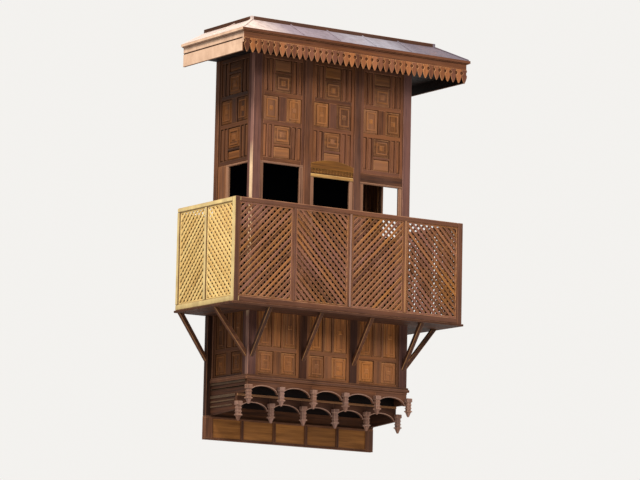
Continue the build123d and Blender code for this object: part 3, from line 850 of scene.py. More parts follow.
lip_height, lip_proud, same_place = 0.020, 0.006, 0.001
rails, brown_head = Joinery("window_rail_boards"), Joinery("brown_window_head")
head_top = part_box("window_rails")[1].z
for low, high in solids_of("window_rails"):
    deep = high.z - low.z > 2 * lip_height and abs(high.z - head_top) < same_place
    if deep and abs(low.x + high.x) < same_place:
        golden_low, golden_high = low, high
    elif deep:
        lip_top = low.z + lip_height
        brown_head.board((low.x, low.y, lip_top), high)
        rails.board((low.x, low.y - lip_proud, low.z), (high.x, high.y, lip_top), eased_edge)
    else:
        rails.board(low, high)
rails.make("sash", "sash_timber", ["window_rails"])
brown_head.make("frame", "sash_timber")
print("window pieces", [p.name for p in made_pieces[-3:]])


# %% [markdown]
# The middle head is the finest board of the bay. A pale lip edges the opening, a band with two rows
# of small planted lozenges runs above it, and a board with a shallow arched top is planted over the
# rail. The arch is an outline of a few points, so it is cut like the corbel's arches.

# %% Golden head of the middle window
golden_lip, golden_lip_proud = 0.034, 0.008
band_tone, planted_tone, arch_tone = -0.8, 0.4, 0.5
lozenge_count, lozenge_half, lozenge_proud = 14, 0.013, 0.005
lozenge_rows = (0.3, 0.75)
arch_lap, arch_end, arch_middle, arch_proud = 0.012, 0.040, 0.088, 0.009
arch_points = 14
sunk = 0.001

low, high = golden_low, golden_high
lip_top = low.z + golden_lip
head_lip = Joinery("golden_head_lip")
head_lip.board((low.x, low.y - golden_lip_proud, low.z), (high.x, high.y, lip_top), rubbed_edge)
head_lip.make("pale_lip", "sash_timber")

head = Joinery("golden_head_board")
head.board((low.x, low.y, lip_top), high, tone=band_tone)
for share in lozenge_rows:
    z = lip_top + (high.z - lip_top) * share
    for i in range(lozenge_count):
        x = low.x + (i + 0.5) * (high.x - low.x) / lozenge_count
        half = lozenge_half
        lozenge = [(x - half, z), (x, z - half), (x + half, z), (x, z + half)]
        front, back = low.y - lozenge_proud, low.y + sunk
        cut_board(head, lozenge, front, back, thin_edge, tone=planted_tone)
arch = [(low.x, high.z - arch_lap), (high.x, high.z - arch_lap)]
for i in range(arch_points + 1):
    share = i / arch_points
    rise = arch_end + (arch_middle - arch_end) * 4 * share * (1 - share)
    arch.append((high.x - (high.x - low.x) * share, high.z + rise))
cut_board(head, arch, low.y - arch_proud, low.y + sunk, tone=arch_tone)
head.make("golden_head", "sash_timber")
print("lozenges", len(lozenge_rows) * lozenge_count)


# %% [markdown]
# ## Lattice screen
# The screen is two layers of narrow slats that cross at right angles, let into a border. Drawing a
# real joint at every crossing would cost much and show nothing, so each slat is one board, cut
# where it meets the frame. Only its centre line is worked out: where a line at 45 degrees enters
# and leaves the panel's rectangle. Now and then a slat is newer and so lighter than the rest.

# %% Slats of one panel
slat_width = 0.026
slat_pitch = 0.050
slat_edge = 0.0028
slat_run_in = 0.010
shortest_slat, far_off = 0.02, 9.0
newer_share, newer_tone = 0.08, 2.4


def slat_ends(offset, lean, half_width, half_height):
    """Both ends of a slat's centre line in a rectangle, or None where it misses it."""
    direction = Vector((1, lean)).normalized()
    origin = Vector((-direction.y, direction.x)) * offset
    low, high = -far_off, far_off
    for axis, half in ((0, half_width), (1, half_height)):
        a = (-half - origin[axis]) / direction[axis]
        b = (half - origin[axis]) / direction[axis]
        low, high = max(low, min(a, b)), min(high, max(a, b))
    if high - low < shortest_slat:
        return None
    return origin + direction * low, origin + direction * high


def slat_layer(piece, size, lean, front, back, centre):
    """One layer of parallel slats in a panel; size and centre are (x, z) in the flat drawing."""
    count = int(sum(size) / (2 * math.sqrt(2)) / slat_pitch)
    spin = Matrix.Rotation(-math.atan2(lean, 1), 4, "Y")
    half_size = [side / 2 + slat_run_in for side in size]
    for index in range(-count, count + 1):
        ends = slat_ends(index * slat_pitch, lean, *half_size)
        if ends is None:
            continue
        middle, half = (ends[0] + ends[1]) / 2, (ends[1] - ends[0]).length / 2
        place = Matrix.Translation((centre[0] + middle.x, 0, centre[1] + middle.y)) @ spin
        tone = newer_tone if piece.chance.random() < newer_share else None
        corners = (-half, front, -slat_width / 2), (half, back, slat_width / 2)
        piece.board(*corners, slat_edge, 0, tone, place)


print("slat width", slat_width, "pitch", slat_pitch)


# %% [markdown]
# Four panels close the front, and two each side. The front slats lean in turn from panel to panel,
# which makes the zigzag that shows in the photograph. The slats on the left side get the palest
# finish, which is painted sunlight, and elsewhere the back layer gets a darker finish, which is
# painted shade. As for the walls, a matrix turns each flat drawing.

# %% Panels of the screen
lattice_border, border_depths = 0.016, (-0.010, 0.010)
front_slats, back_slats = (-0.0095, -0.0005), (0.0005, 0.0095)


def lattice_panels(node, front_finish, back_finish, panels):
    """Border and two layers of slats for each (place, low, high, lean); low and high are (x, z)."""
    front_layer, back_layer = Joinery(f"{node}_front_slats"), Joinery(f"{node}_back_slats")
    for place, low, high, lean in panels:
        front_layer.place = back_layer.place = place
        strip_ring(front_layer, low, high, lattice_border, *border_depths, plain_edge)
        size = [b - a - 2 * lattice_border for a, b in zip(low, high)]
        centre = [(a + b) / 2 for a, b in zip(low, high)]
        slat_layer(front_layer, size, lean, *front_slats, centre)
        slat_layer(back_layer, size, -lean, *back_slats, centre)
    front_layer.make(front_finish, "lattice_timber", [node])
    back_layer.make(back_finish, "lattice_timber")


for panel in (1, 2, 3, 4):
    node = f"front_lattice_{panel}"
    low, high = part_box(node)
    place = Matrix.Translation((0, (low.y + high.y) / 2, 0))
    drawing = (place, (low.x, low.z), (high.x, high.z), 1 if panel % 2 else -1)
    lattice_panels(node, "slat", "back_slat", [drawing])

for node, inward, pair in (
    ("side_lattice_left", 1, ("sunned_slat", "sunned_slat")),
    ("side_lattice_right", -1, ("slat", "back_slat")),
):
    drawings = []
    for index, (low, high) in enumerate(solids_of(node)):
        place = quarter_turn((low.x + high.x) / 2, 0, inward, -1)
        drawings.append((place, (-high.y, low.z), (-low.y, high.z), 1 if index % 2 else -1))
    lattice_panels(node, *pair, drawings)
print("lattice pieces", [p.name for p in made_pieces[-12:]])


# %% [markdown]
# The rails and posts of the screen frame the panels, and each middle post carries a bead, the
# three in different tones; the first has the back slats' finish, which is painted shade. The ledge
# boards under the screen are laid side by side, as planks are, with thin gaps that show from below.

# %% Rails, posts and ledge
plain_boards("screen_rail_boards", "screen_rails", "screen", "screen_timber", rail_edge)

post_bead_half, post_bead_proud = 0.010, 0.007
narrow_post, plank_gap = 0.05, 0.003
bead_finishes = ["back_slat", "carved", "stile_bead"]
bead_count = 0
post_boards = Joinery("screen_post_boards")
screen_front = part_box("screen_posts")[0].y
for low, high in solids_of("screen_posts"):
    if low.y - screen_front < same_place and high.x - low.x < narrow_post:
        bead_back = low.y + post_bead_proud
        post_boards.board((low.x, bead_back, low.z), high, eased_edge)
        middle = (low.x + high.x) / 2
        left, right = middle - post_bead_half, middle + post_bead_half
        bead_count += 1
        post_bead = Joinery(f"screen_post_bead_{bead_count}")
        post_bead.board((left, low.y, low.z), (right, bead_back, high.z), eased_edge)
        post_bead.make(bead_finishes[bead_count - 1], "screen_timber")
    else:
        post_boards.board(low, high, eased_edge)
post_boards.make("screen", "screen_timber", ["screen_posts"])


def planks(name, node, axis, count, finish, gap=plank_gap):
    """Replaces flat boards by planks laid side by side; axis is the way across them."""
    piece = Joinery(name)
    for low, high in solids_of(node):
        step = (high[axis] - low[axis]) / count
        for i in range(count):
            a, b = low.copy(), high.copy()
            a[axis] = low[axis] + i * step + (gap / 2 if i else 0)
            b[axis] = low[axis] + (i + 1) * step - (gap / 2 if i < count - 1 else 0)
            piece.board(a, b)
    piece.make(finish, "dark_timber", [node])


planks("ledge_front_planks", "ledge_front", 1, 3, "dark")
planks("ledge_side_planks", "ledge_sides", 0, 3, "dark")
print("beads on the posts", bead_count)


# %% [markdown]
# ## Struts
# A strut is a slanting brace with an upright foot and a level head. Its side view is a four-sided
# outline, so it is cut from a thick board like the arches are. Two stand at each side, and one in
# front of each post of the cabin, where the same drawing is turned by a quarter.

# %% Struts
strut_half, strut_foot, strut_head, strut_margin = 0.0225, 0.070, 0.060, 0.030
corner_half = 0.05
braces = Joinery("strut_timbers")
foot_level, head_level = (corner.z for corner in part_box("struts"))
cabin_low, cabin_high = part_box("floor_deck")
screen_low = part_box("screen_posts")[0]
half_cabin, cabin_front = cabin_high.x, cabin_low.y
base_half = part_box("base_board")[1].x


def strut(foot, reach, place):
    outline = [
        (foot, foot_level),
        (foot, foot_level + strut_foot),
        (reach + strut_head, head_level),
        (reach, head_level),
    ]
    cut_board(braces, outline, -strut_half, strut_half, rubbed_edge, place)


for foot, y in ((-base_half, -strut_half), (-half_cabin, cabin_front + corner_half)):
    slide = Matrix.Translation((0, y, 0))
    for place in (slide, mirror_x @ slide):
        strut(foot, screen_low.x + strut_margin, place)
front_posts = solids_of("corner_posts") + solids_of("mid_posts")
for x in sorted((low.x + high.x) / 2 for low, high in front_posts):
    strut(cabin_front, screen_low.y + strut_margin, quarter_turn(x, 0, -1, 1))
braces.make("strut", "post_timber", ["struts"])
print("struts between", round(foot_level, 3), "and", round(head_level, 3))


# %% [markdown]
# ## Corbel
# Below the floor two rows of flattened arches step back to the wall, with a square drop at each
# springing. Each arch is cut from a board; a thin half-round bead follows its curve and catches the
# light, which is what makes the row read from far off.

# %% Arches
arch_count = 5
arch_pitch = 2 * half_cabin / arch_count
arch_rise = 0.080
arch_steps = 28
drop_width = 0.064
bead_width, bead_proud = 0.009, 0.008
fillet_height, fillet_proud = 0.022, 0.006
lap = 0.002


def arch_curve(centre, springing, half_span, rise):
    """Points of a flattened arch from left to right."""
    angles = [math.pi * (1 - i / arch_steps) for i in range(arch_steps + 1)]
    return [(centre + half_span * math.cos(a), springing + rise * math.sin(a)) for a in angles]


def arcade(name, node, board_finish, fillet_finish):
    """One row of arches, with its beads and the fillet along its top."""
    low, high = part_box(node)
    boards, beads, fillet = Joinery(name), Joinery(f"{name}_beads"), Joinery(f"{name}_fillet")
    half_span = (arch_pitch - drop_width) / 2
    for i in range(arch_count):
        left = -half_cabin + i * arch_pitch
        right, centre = left + arch_pitch, left + arch_pitch / 2
        curve = arch_curve(centre, low.z, half_span, arch_rise)
        outline = [(left, high.z), (left, low.z), *curve, (right, low.z), (right, high.z)]
        cut_board(boards, outline, low.y, high.y)
        outer = arch_curve(centre, low.z, half_span + bead_width, arch_rise + bead_width)
        cut_board(beads, curve + outer[::-1], low.y - bead_proud, low.y + lap)
    fillet_low = (-half_cabin, low.y - fillet_proud, high.z - fillet_height)
    fillet.board(fillet_low, (half_cabin, low.y + lap, high.z))
    fillet.make(fillet_finish, "carved_timber")
    boards.make(board_finish, "carved_timber", [node])
    beads.make("carved", "carved_timber")


arcade("upper_arch_boards", "corbel_upper_arcade", "frame", "frame")
arcade("lower_arch_boards", "corbel_lower_arcade", "dark", "stile_bead")
print("arches", 2 * arch_count)


# %% [markdown]
# A drop ends each springing, as a turned knob would. It is a stack of square blocks: a head, a
# narrower neck with two rings, a collar and a tip that tapers to a blunt point. One tone is drawn
# for the whole drop, so the stack reads as one piece of wood.

# %% Drops at the springings
head_height, neck_width, collar_height, tip_height, tip_width = 0.040, 0.046, 0.014, 0.052, 0.014
ring_shares, ring_half, ring_proud = (0.3, 0.7), 0.005, 0.004
drop_tones = -0.6, 0.9
square = (-1, -1), (1, -1), (1, 1), (-1, 1)

drops = Joinery("corbel_drops")
for low, high in solids_of("corbel_pendants"):
    place = Matrix.Translation(((low.x + high.x) / 2, (low.y + high.y) / 2, 0))
    tone = drops.chance.uniform(*drop_tones)
    tip_top = low.z + tip_height
    neck_low, neck_high = tip_top + collar_height, high.z - head_height
    for z0, z1, width in (
        (neck_high, high.z, drop_width),
        (neck_low, neck_high, neck_width),
        (tip_top, neck_low, drop_width),
    ):
        half = width / 2
        drops.board((-half, -half, z0), (half, half, z1), eased_edge, 2, tone, place)
    half = neck_width / 2 + ring_proud
    for share in ring_shares:
        z = neck_low + (neck_high - neck_low) * share
        corners = (-half, -half, z - ring_half), (half, half, z + ring_half)
        drops.board(*corners, plain_edge, 0, tone, place)
    tip = [
        [(x * width / 2, y * width / 2, z) for x, y in square]
        for width, z in ((tip_width, low.z), (neck_width, tip_top))
    ]
    tapered_block(drops, *tip, 0, True, tone, place)
drops.make("carved", "carved_timber", ["corbel_pendants"])
print("drops", len(solids_of("corbel_pendants")))


# %% [markdown]
# The cheeks close the corbel at both ends. They follow its steps, with a cove below the upper one,
# and narrow bands run along them. Behind the arches a riser, a soffit and a back board stay in
# shade, so they are painted nearly black as shade; only the foot of the back board, which catches
# some light, keeps a plain wood finish.

# %% Cheeks and lining
cheek_low, cheek_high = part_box("corbel_cheek_left")
base_low, base_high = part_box("base_board")
upper_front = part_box("corbel_upper_arcade")[1].y
lower_low, lower_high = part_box("corbel_lower_arcade")
lower_front, step_level = lower_high.y, lower_high.z
cove, cove_steps = 0.055, 12
cheek_thickness = 0.032
# for each band: its top, where its front end lies, how far it stands out and its height
bands = (
    (cheek_high.z, upper_front, 0.010, 0.026),
    (step_level, lower_front, 0.010, 0.026),
    (cheek_high.z - 0.060, upper_front, 0.006, 0.014),
    (step_level - 0.055, lower_front + 0.02, 0.006, 0.014),
    (step_level + 0.075, upper_front, 0.006, 0.014),
    (step_level - 0.105, lower_front + 0.06, 0.006, 0.014),
)

profile = [(0, cheek_low.z), (0, cheek_high.z), (upper_front, cheek_high.z)]
profile.append((upper_front, step_level + cove))
for i in range(1, cove_steps):
    angle = math.pi + 0.5 * math.pi * i / cove_steps
    x, z = upper_front + cove, step_level + cove
    profile.append((x + cove * math.cos(angle), z + cove * math.sin(angle)))
profile += [(upper_front + cove, step_level), (lower_front, step_level), (lower_front, lower_low.z)]

for side, sign in (("left", -1), ("right", 1)):
    cheek, ribs = Joinery(f"corbel_cheek_{side}_board"), Joinery(f"corbel_cheek_{side}_bands")
    outer = sign * half_cabin
    cut_board(cheek, profile, 0, cheek_thickness, place=quarter_turn(outer, 0, -sign, 1))
    for top, front, proud, height in bands:
        ribs.board((outer, front, top - height), (outer + sign * proud, base_low.y, top))
    ribs.make("cheek_band", "dark_timber")
    cheek.make("dark", "dark_timber", [f"corbel_cheek_{side}"])

clear, thick, back_split = half_cabin - cheek_thickness, 0.020, 0.235
riser_back = lower_low.y + thick
lining, back_strip = Joinery("corbel_lining_boards"), Joinery("corbel_back_board")
lining.board((-clear, lower_low.y, step_level), (clear, riser_back, cheek_high.z), thin_edge)
lining.board((-clear, riser_back, step_level), (clear, 0, step_level + thick), thin_edge)
lining.board((-clear, -thick, back_split), (clear, 0, step_level), thin_edge)
lining.make("painted_shade_black", "dark_timber", ["corbel_lining"])
back_strip.board((-clear, -thick, base_high.z), (clear, 0, back_split), thin_edge)
back_strip.make("frame", "dark_timber")
print("bands on each cheek", len(bands))


# %% [markdown]
# The board at the foot lies flat on the wall and has five sunk fields, one below each arch. Its
# frame is a lower and an upper rail with uprights between them, a thin bead runs round each field,
# and two back boards close it against the wall.

# %% Base board
end_stile, base_rail, back_depth = 0.090, 0.016, 0.014
base_bead, base_bead_sunk, field_lap = 0.009, 0.004, 0.010
frame_boards, fields = Joinery("base_board_frame"), Joinery("base_board_fields")
face = base_low.y
rail_low, rail_high = base_low.z + base_rail, base_high.z - base_rail
edges = [base_low.x]
for i in range(arch_count):
    x0 = max(-half_cabin + i * arch_pitch + muntin / 2, base_low.x + end_stile)
    x1 = min(-half_cabin + (i + 1) * arch_pitch - muntin / 2, base_high.x - end_stile)
    edges += [x0, x1]
    field_low = (x0 - lap, face + recess, base_low.z + field_lap)
    fields.board(field_low, (x1 + lap, -back_depth, base_high.z - field_lap), crisp_edge, 0)
    depths = face + base_bead_sunk, face + recess
    strip_ring(frame_boards, (x0, rail_low), (x1, rail_high), base_bead, *depths)
edges.append(base_high.x)
for front, back, bottom, top, edge in (
    (face, -back_depth, base_low.z, rail_low, plain_edge),
    (face, -back_depth, rail_high, base_high.z, plain_edge),
    (-back_depth, 0, base_low.z, 0, thin_edge),
    (-back_depth, 0, 0, base_high.z, thin_edge),
):
    frame_boards.board((base_low.x, front, bottom), (base_high.x, back, top), edge)
for x0, x1 in zip(edges[::2], edges[1::2]):
    frame_boards.board((x0, face, rail_low), (x1, -back_depth, rail_high), plain_edge, 2)
frame_boards.make("frame", "dark_timber", ["base_board"])
fields.make("base", "dark_timber")
print("base board panels", arch_count)


# %% [markdown]
# The floor is planks again. Its edge carries a moulding in two steps, each of three boards: one
# along the front and one down each side, back to the wall. The roof's drip edge and its batten are
# laid round in the same way, so one helper places the three.

# %% Floor and its moulding
planks("floor_planks", "floor_deck", 1, 5, "dark")
moulding = Joinery("floor_moulding_strips")
mould_low, mould_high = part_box("floor_moulding")
step_height, step_proud = 0.020, 0.012


def three_sides(piece, x, y, levels, edge=plain_edge, tone=None):
    """A board along the front and one down each side; x: outer, inner; y: front, back, wall."""
    (outer, inner), (front, back, wall), (z0, z1) = x, y, levels
    piece.board((-outer, front, z0), (outer, back, z1), edge, None, tone)
    for sign in (-1, 1):
        piece.board((sign * outer, back, z0), (sign * inner, wall, z1), edge)


step_low = mould_high.z - step_height
for proud, levels in (
    (cabin_low.x - mould_low.x, (mould_low.z, step_low)),
    (step_proud, (step_low, mould_high.z)),
):
    depths = cabin_front - proud, cabin_front, base_low.y
    three_sides(moulding, (half_cabin + proud, half_cabin), depths, levels, rubbed_edge)
moulding.make("frame", "carved_timber", ["floor_moulding"])
print("moulding from", round(mould_low.z, 3), "to", round(mould_high.z, 3))


# %% [markdown]
# ## Eaves
# The soffit is a ceiling of planks that runs out over the screen, painted nearly black as shade.
# A board with a small crown closes the eaves in front. The side boards are plain, with one groove:
# two boards with a gap between them, and a board behind the gap and a skin on their inner face,
# both painted nearly black as shade.

# %% Soffit and boards of the eaves
planks("ceiling_planks", "ceiling", 1, 9, "painted_shade_black", gap=0.004)

eave_low, eave_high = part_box("fascia_front")
side_low, side_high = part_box("fascia_sides")
crown, crown_height, crown_edge, crown_tone = 0.018, 0.030, 0.006, -2.0
fascia_thickness, inner_skin, gap_floor = 0.025, 0.005, 0.008
groove_depth, groove_width, skin_lift = 0.090, 0.010, 0.002
half_eave = -side_low.x - crown
board_front = eave_low.y + crown

front_board = Joinery("eave_front_board")
front_board.board((-half_eave, board_front, eave_low.z), (half_eave, eave_high.y, eave_high.z))
crown_low = (eave_low.x, eave_low.y, eave_high.z - crown_height)
crown_high = (eave_high.x, board_front, eave_high.z)
front_board.board(crown_low, crown_high, crown_edge, None, crown_tone)
front_board.make("fascia", "fascia_timber", ["fascia_front"])

side_boards, inner_faces = Joinery("eave_side_boards"), Joinery("eave_side_inner_faces")
split = side_high.z - groove_depth
groove_low = split - groove_width
front = board_front + fascia_thickness
for sign in (-1, 1):
    outer = sign * half_eave
    inner = sign * (half_eave - fascia_thickness)
    middle = inner + sign * inner_skin
    side_boards.board((outer, front, side_low.z), (middle, 0, groove_low), eased_edge)
    side_boards.board((outer, front, split), (middle, 0, side_high.z), eased_edge)
    inner_faces.board((outer - sign * gap_floor, front, groove_low), (middle, 0, split), crisp_edge)
    inner_faces.board((middle, front, side_low.z + skin_lift), (inner, 0, side_high.z), crisp_edge)
    crown_low = (outer, board_front, side_high.z - crown_height)
    side_boards.board(crown_low, (outer + sign * crown, 0, side_high.z), crown_edge)
side_boards.make("fascia", "fascia_timber", ["fascia_sides"])
inner_faces.make("painted_shade_black", "dark_timber")
print("eaves at", round(eave_high.z, 3))


# %% [markdown]
# The front board carries a fringe of narrow pointed slats. Each is cut to a point, and half a hole
# is cut from both its sides, so two neighbours make one round hole above each gap; that gives the
# row of dark dots in the photograph. The slats are separate boards, so each has its own tone, and
# their planed edges, painted paler as wear and as a highlight, draw the fine pale lines between
# them.

# %% Fringe of pointed slats
fringe_low, fringe_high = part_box("valance_front")
fringe_count, fringe_edge, point_drop = 39, 0.0035, 0.014
fringe_pitch = (fringe_high.x - fringe_low.x) / fringe_count
tip_level = fringe_low.z - point_drop
# heights above tip_level and half widths of the slat
tip, tip_half = 0.002, 0.005
shoulder, shoulder_half = 0.030, 0.020
gap_top, joint = 0.072, 0.0015
hole_level, hole_radius, hole_steps = 0.110, 0.017, 8


def slat_side(centre, sign):
    """One side of a slat from its top down to its point; sign is -1 for the left side."""
    edge = centre + sign * (fringe_pitch / 2 - joint)
    points = [(edge, fringe_high.z)]
    for k in range(hole_steps + 1):
        angle = math.pi * (0.5 - k / hole_steps)
        x = edge - sign * hole_radius * math.cos(angle)
        points.append((x, tip_level + hole_level + hole_radius * math.sin(angle)))
    return points + [
        (edge, tip_level + gap_top),
        (centre + sign * shoulder_half, tip_level + shoulder),
        (centre + sign * tip_half, tip_level + tip),
    ]


fringe = Joinery("eave_fringe")
for i in range(fringe_count):
    centre = fringe_low.x + (i + 0.5) * fringe_pitch
    outline = slat_side(centre, -1) + slat_side(centre, 1)[::-1]
    cut_board(fringe, outline, fringe_low.y, fringe_high.y, fringe_edge, upright=True)
fringe.make("fringe", "fascia_timber", ["valance_front"])
print("fringe slats", fringe_count, "pitch", round(fringe_pitch, 4))


# %% [markdown]
# ## Roof
# Thin galvanised sheet covers the three slopes and the flat. Its finish is a dull lilac grey with a
# painted glare that grows brighter to the left, and a second painted glare in the middle. A cell
# noise gives the flakes of the zinc, a noise that is drawn out downwards the dirt that has run down
# the slope, and two more together the spots of rust.

# %% Sheet metal
sheet_tone, bright_tone, dirt_tone = srgb(80, 72, 84), srgb(140, 124, 132), srgb(74, 62, 62)
glare_tone, second_glare_tone = srgb(212, 192, 178), srgb(172, 174, 184)
rust_tone = srgb(122, 78, 56)
left_glare_side, glare_end = (-1.3, 0.6), (-1.25, -0.80)
second_glare_from, second_glare_to, second_glare_share = (-0.30, 0.05), (0.45, 0.80), 0.5
flake_scale, run_stretch = 60.0, (14, 14, 1.5)
sheet_patch_scale, rust_scale, rust_share = 3.0, 26.0, 0.5

r = Recipe(bpy.data.materials.new("roof_sheet_metal"))
position = r.node("TexCoord").outputs["Object"]
flakes = r.node("TexVoronoi", {"Vector": position, "Scale": flake_scale})
runs = r.noise(r.stretched(position, run_stretch), 4, 0.6)
patches = r.noise(position, 4, 0.6, sheet_patch_scale)
spots = r.noise(position, 5, 0.7, rust_scale)
along = r.node("SeparateXYZ", {0: position}).outputs["X"]
# painted glare, brighter to the left, varied by the sheet's patches
left_glare_and_patches = r.plus(r.ranged(along, *left_glare_side, 1, 0), r.ranged(patches, 0.3, 0.7, -0.15, 0.15))
colour = r.mix(left_glare_and_patches, sheet_tone, bright_tone)
# painted glare at the left hip
colour = r.mix(r.ranged(along, *glare_end, 1, 0), colour, glare_tone)
# a second painted glare in the middle
second_glare = r.times(r.ranged(along, *second_glare_from), r.ranged(along, *second_glare_to, second_glare_share, 0))
colour = r.mix(second_glare, colour, second_glare_tone)
colour = r.mix(r.ranged(flakes, 0.1, 0.7, 0.0, 0.3), colour, bright_tone)
colour = r.mix(r.ranged(runs, 0.45, 0.75, 0.0, 0.5), colour, dirt_tone)
rust = r.times(r.ranged(patches, 0.56, 0.70), r.ranged(spots, 0.45, 0.6))
colour = r.mix(r.times(rust, rust_share), colour, rust_tone)
rough = r.ranged(runs, 0.3, 0.7, 0.55, 0.75)
finishes["sheet"] = r.surface(colour, rough, r.plus(patches, runs), 0.3, 0.003, {"Metallic": 0.15})
print("roof finish", finishes["sheet"].name)


# %% [markdown]
# Real sheet never lies quite flat: each bay of it swells a little between its seams. So every bay
# is a grid of points that is pushed out of its plane by a smooth noise, most in its middle and not
# at all at its edges, and Blender's Solidify modifier then gives it its thickness.

# %% Bays of sheet
roof_low, roof_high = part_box("roof_sheet")
curb_low, curb_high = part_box("roof_curb")
sheet_rise = 0.006
eave_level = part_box("fascia_front")[1].z + sheet_rise
sheet_thickness, sheet_steps, front_bays = 0.004, 10, 5
swell, least_dent, dent_scale = 0.003, 0.6, 4.0


def sheet_bay(piece, corners):
    """A slightly swollen sheet between four corners, given anticlockwise as seen from outside."""
    a, b, c, d = (Vector(corner) for corner in corners)
    outward = (b - a).cross(d - a).normalized()
    points = []
    row = sheet_steps + 1
    for j in range(row):
        for i in range(row):
            u, v = i / sheet_steps, j / sheet_steps
            point = a.lerp(b, u).lerp(d.lerp(c, u), v)
            inside = 16 * u * (1 - u) * v * (1 - v)
            dent = least_dent + noise.noise(point * dent_scale)
            points.append(point - outward * inside * swell * dent)
    starts = [j * row + i for j in range(sheet_steps) for i in range(sheet_steps)]
    squares = [(s, s + 1, s + row + 1, s + row) for s in starts]
    mesh = bpy.data.meshes.new("sheet_bay")
    mesh.from_pydata([tuple(p) for p in points], [], squares)
    sheet = placed("sheet_bay", mesh)
    solidify = sheet.modifiers.new("thickness", "SOLIDIFY")
    solidify.thickness, solidify.offset = sheet_thickness, -1
    points, faces = worked_out(sheet)
    piece.add(points, [(ring, 0) for ring, _ in faces], points)


slopes = Joinery("roof_sheet_bays")
top_x = [curb_low.x + (curb_high.x - curb_low.x) * i / front_bays for i in range(front_bays + 1)]
top_x[-1] = curb_high.x
eave_x = [roof_low.x, *top_x[1:-1], roof_high.x]
for e0, e1, t0, t1 in zip(eave_x, eave_x[1:], top_x, top_x[1:]):
    lower = (e0, roof_low.y, eave_level), (e1, roof_low.y, eave_level)
    sheet_bay(slopes, [*lower, (t1, curb_low.y, roof_high.z), (t0, curb_low.y, roof_high.z)])
    flat = (t0, curb_low.y), (t1, curb_low.y), (t1, 0), (t0, 0)
    sheet_bay(slopes, [(x, y, roof_high.z) for x, y in flat])
side_y = roof_low.y / 2
for sign in (-1, 1):
    outer, inner = sign * roof_high.x, sign * curb_high.x
    for start, eave_end, top_end in ((0, side_y, side_y), (side_y, roof_low.y, curb_low.y)):
        lower = (outer, start, eave_level), (outer, eave_end, eave_level)
        ring = [*lower, (inner, top_end, roof_high.z), (inner, start, roof_high.z)]
        sheet_bay(slopes, ring if sign < 0 else ring[::-1])
slopes.make("sheet", "roof_metal", ["roof_sheet"])
print("bays of sheet", 2 * front_bays + 4)


# %% [markdown]
# The bays are joined by folded seams, and low rolls cover the hips. Each is a narrow board that is
# laid on the line between two points: the line gives the first direction, the upright gives the
# others, and the three together are the matrix that turns the board.

# %% Seams and hip rolls
seam_width, seam_height = 0.010, 0.010
hip_width, hip_height = 0.026, 0.007
strip_inset, strip_sunk = 0.05, 0.002


def metal_strip(piece, start, end, width, height):
    """A narrow strip that lies on the line from start to end, cut short at its start."""
    start, end = Vector(start), Vector(end)
    start = start.lerp(end, strip_inset)
    run = (end - start).normalized()
    across = run.cross(Vector((0, 0, 1))).normalized()
    matrix = Matrix((run, across, across.cross(run).normalized())).transposed().to_4x4()
    matrix.translation = (start + end) / 2
    half = (end - start).length / 2
    low, high = (-half, -width / 2, -strip_sunk), (half, width / 2, height)
    piece.board(low, high, thin_edge, 0, None, matrix)


seams = Joinery("roof_seams")
seam = seam_width, seam_height
for x in top_x[1:-1]:
    metal_strip(seams, (x, roof_low.y, eave_level), (x, curb_low.y, roof_high.z), *seam)
for sign in (-1, 1):
    outer, inner = sign * roof_high.x, sign * curb_high.x
    hip_foot, hip_top = (outer, roof_low.y, eave_level), (inner, curb_low.y, roof_high.z)
    metal_strip(seams, hip_foot, hip_top, hip_width, hip_height)
    metal_strip(seams, (outer, side_y, eave_level), (inner, side_y, roof_high.z), *seam)
seams.make("sheet", "roof_metal")
print("seams", len(top_x) - 2)


# %% [markdown]
# The sheet is turned down over the eave boards, where it is painted with them. A thick batten runs
# round the flat, and a folded end of the hip cover stands up in front of each of its corners.

# %% Drip edge and batten
edge_thickness, edge_gap, skirt_drop = 0.004, 0.001, 0.022
skirt_levels = eave_level - sheet_rise - skirt_drop, eave_level - edge_gap
turned_down = Joinery("roof_drip_edge")
skirt_x = roof_high.x, roof_high.x - edge_thickness
skirt_y = roof_low.y, roof_low.y + edge_thickness, 0
three_sides(turned_down, skirt_x, skirt_y, skirt_levels, crisp_edge, crown_tone)
turned_down.make("fascia", "roof_metal")

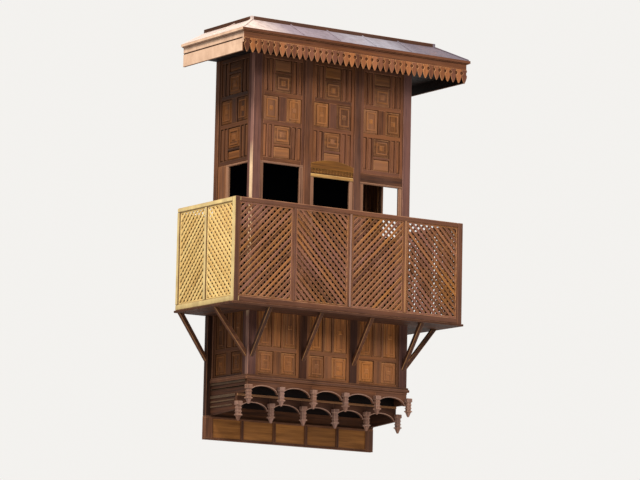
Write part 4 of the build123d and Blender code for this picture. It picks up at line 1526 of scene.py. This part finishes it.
batten_width, batten_lap, batten_drop = 0.040, 0.034, 0.020
batten_low = curb_low.z - batten_drop
batten_reach, batten_front = curb_high.x + batten_lap, curb_low.y - batten_lap
batten = Joinery("roof_batten")
batten_y = batten_front, curb_low.y + batten_width, 0
batten_x = batten_reach, curb_high.x - batten_width
three_sides(batten, batten_x, batten_y, (batten_low, curb_high.z))
batten.make("dark", "dark_timber", ["roof_curb"])

ear, ear_proud, ear_drop = 0.026, 0.004, 0.012
ears = Joinery("hip_cover_ends")
for sign in (-1, 1):
    x, y = sign * batten_reach, batten_front
    ear_low = (x + sign * ear_proud, y - ear_proud, batten_low - ear_drop)
    ears.board(ear_low, (x - sign * ear, y + ear, curb_high.z), thin_edge, 2)
ears.make("sheet", "roof_metal")
print("batten", round(2 * batten_reach, 3), "m long")


# %% [markdown]
# The board against the wall closes the roof space. It keeps its solid, whose mesh has no stored
# grain, so it gets a recipe of its own that takes its streaks from the place in the room.

# %% Board at the back of the roof
back_streaks, back_fibres = (2, 30, 30), (14, 210, 210)
r = Recipe(bpy.data.materials.new("roof_back_wood"))
position = r.node("TexCoord").outputs["Object"]
streaks = r.noise(r.stretched(position, back_streaks), 5, 0.6)
fibres = r.noise(r.stretched(position, back_fibres), 3, 0.6)
share = r.plus(streaks, r.ranged(fibres, 0.3, 0.7, -0.1, 0.1))
colour = r.mix(r.ranged(share, 0.3, 0.7), srgb(60, 38, 28), srgb(118, 82, 60))
rough = r.ranged(streaks, 0.3, 0.7, 0.6, 0.8)
back_wood = r.surface(colour, rough, fibres, 0.4, bump_depth, {"Specular IOR Level": 0.25})
back_board = frame["nodes"]["roof_wall_plate"]
back_board.data.materials.clear()
back_board.data.materials.append(back_wood)
print("back board has", back_wood.name)


# %% [markdown]
# ## Check and finish
# The nodes of the solid that are neither replaced nor given a finish of their own are listed,
# and the pieces and their triangles are counted.

# %% Measure and finish
bare = [n for n, o in frame["nodes"].items() if not o.hide_render and n != "roof_wall_plate"]
print("nodes without a finish", bare)
triangles = sum(sum(len(f.vertices) - 2 for f in p.data.polygons) for p in made_pieces)
print("pieces", len(made_pieces), "triangles", triangles)
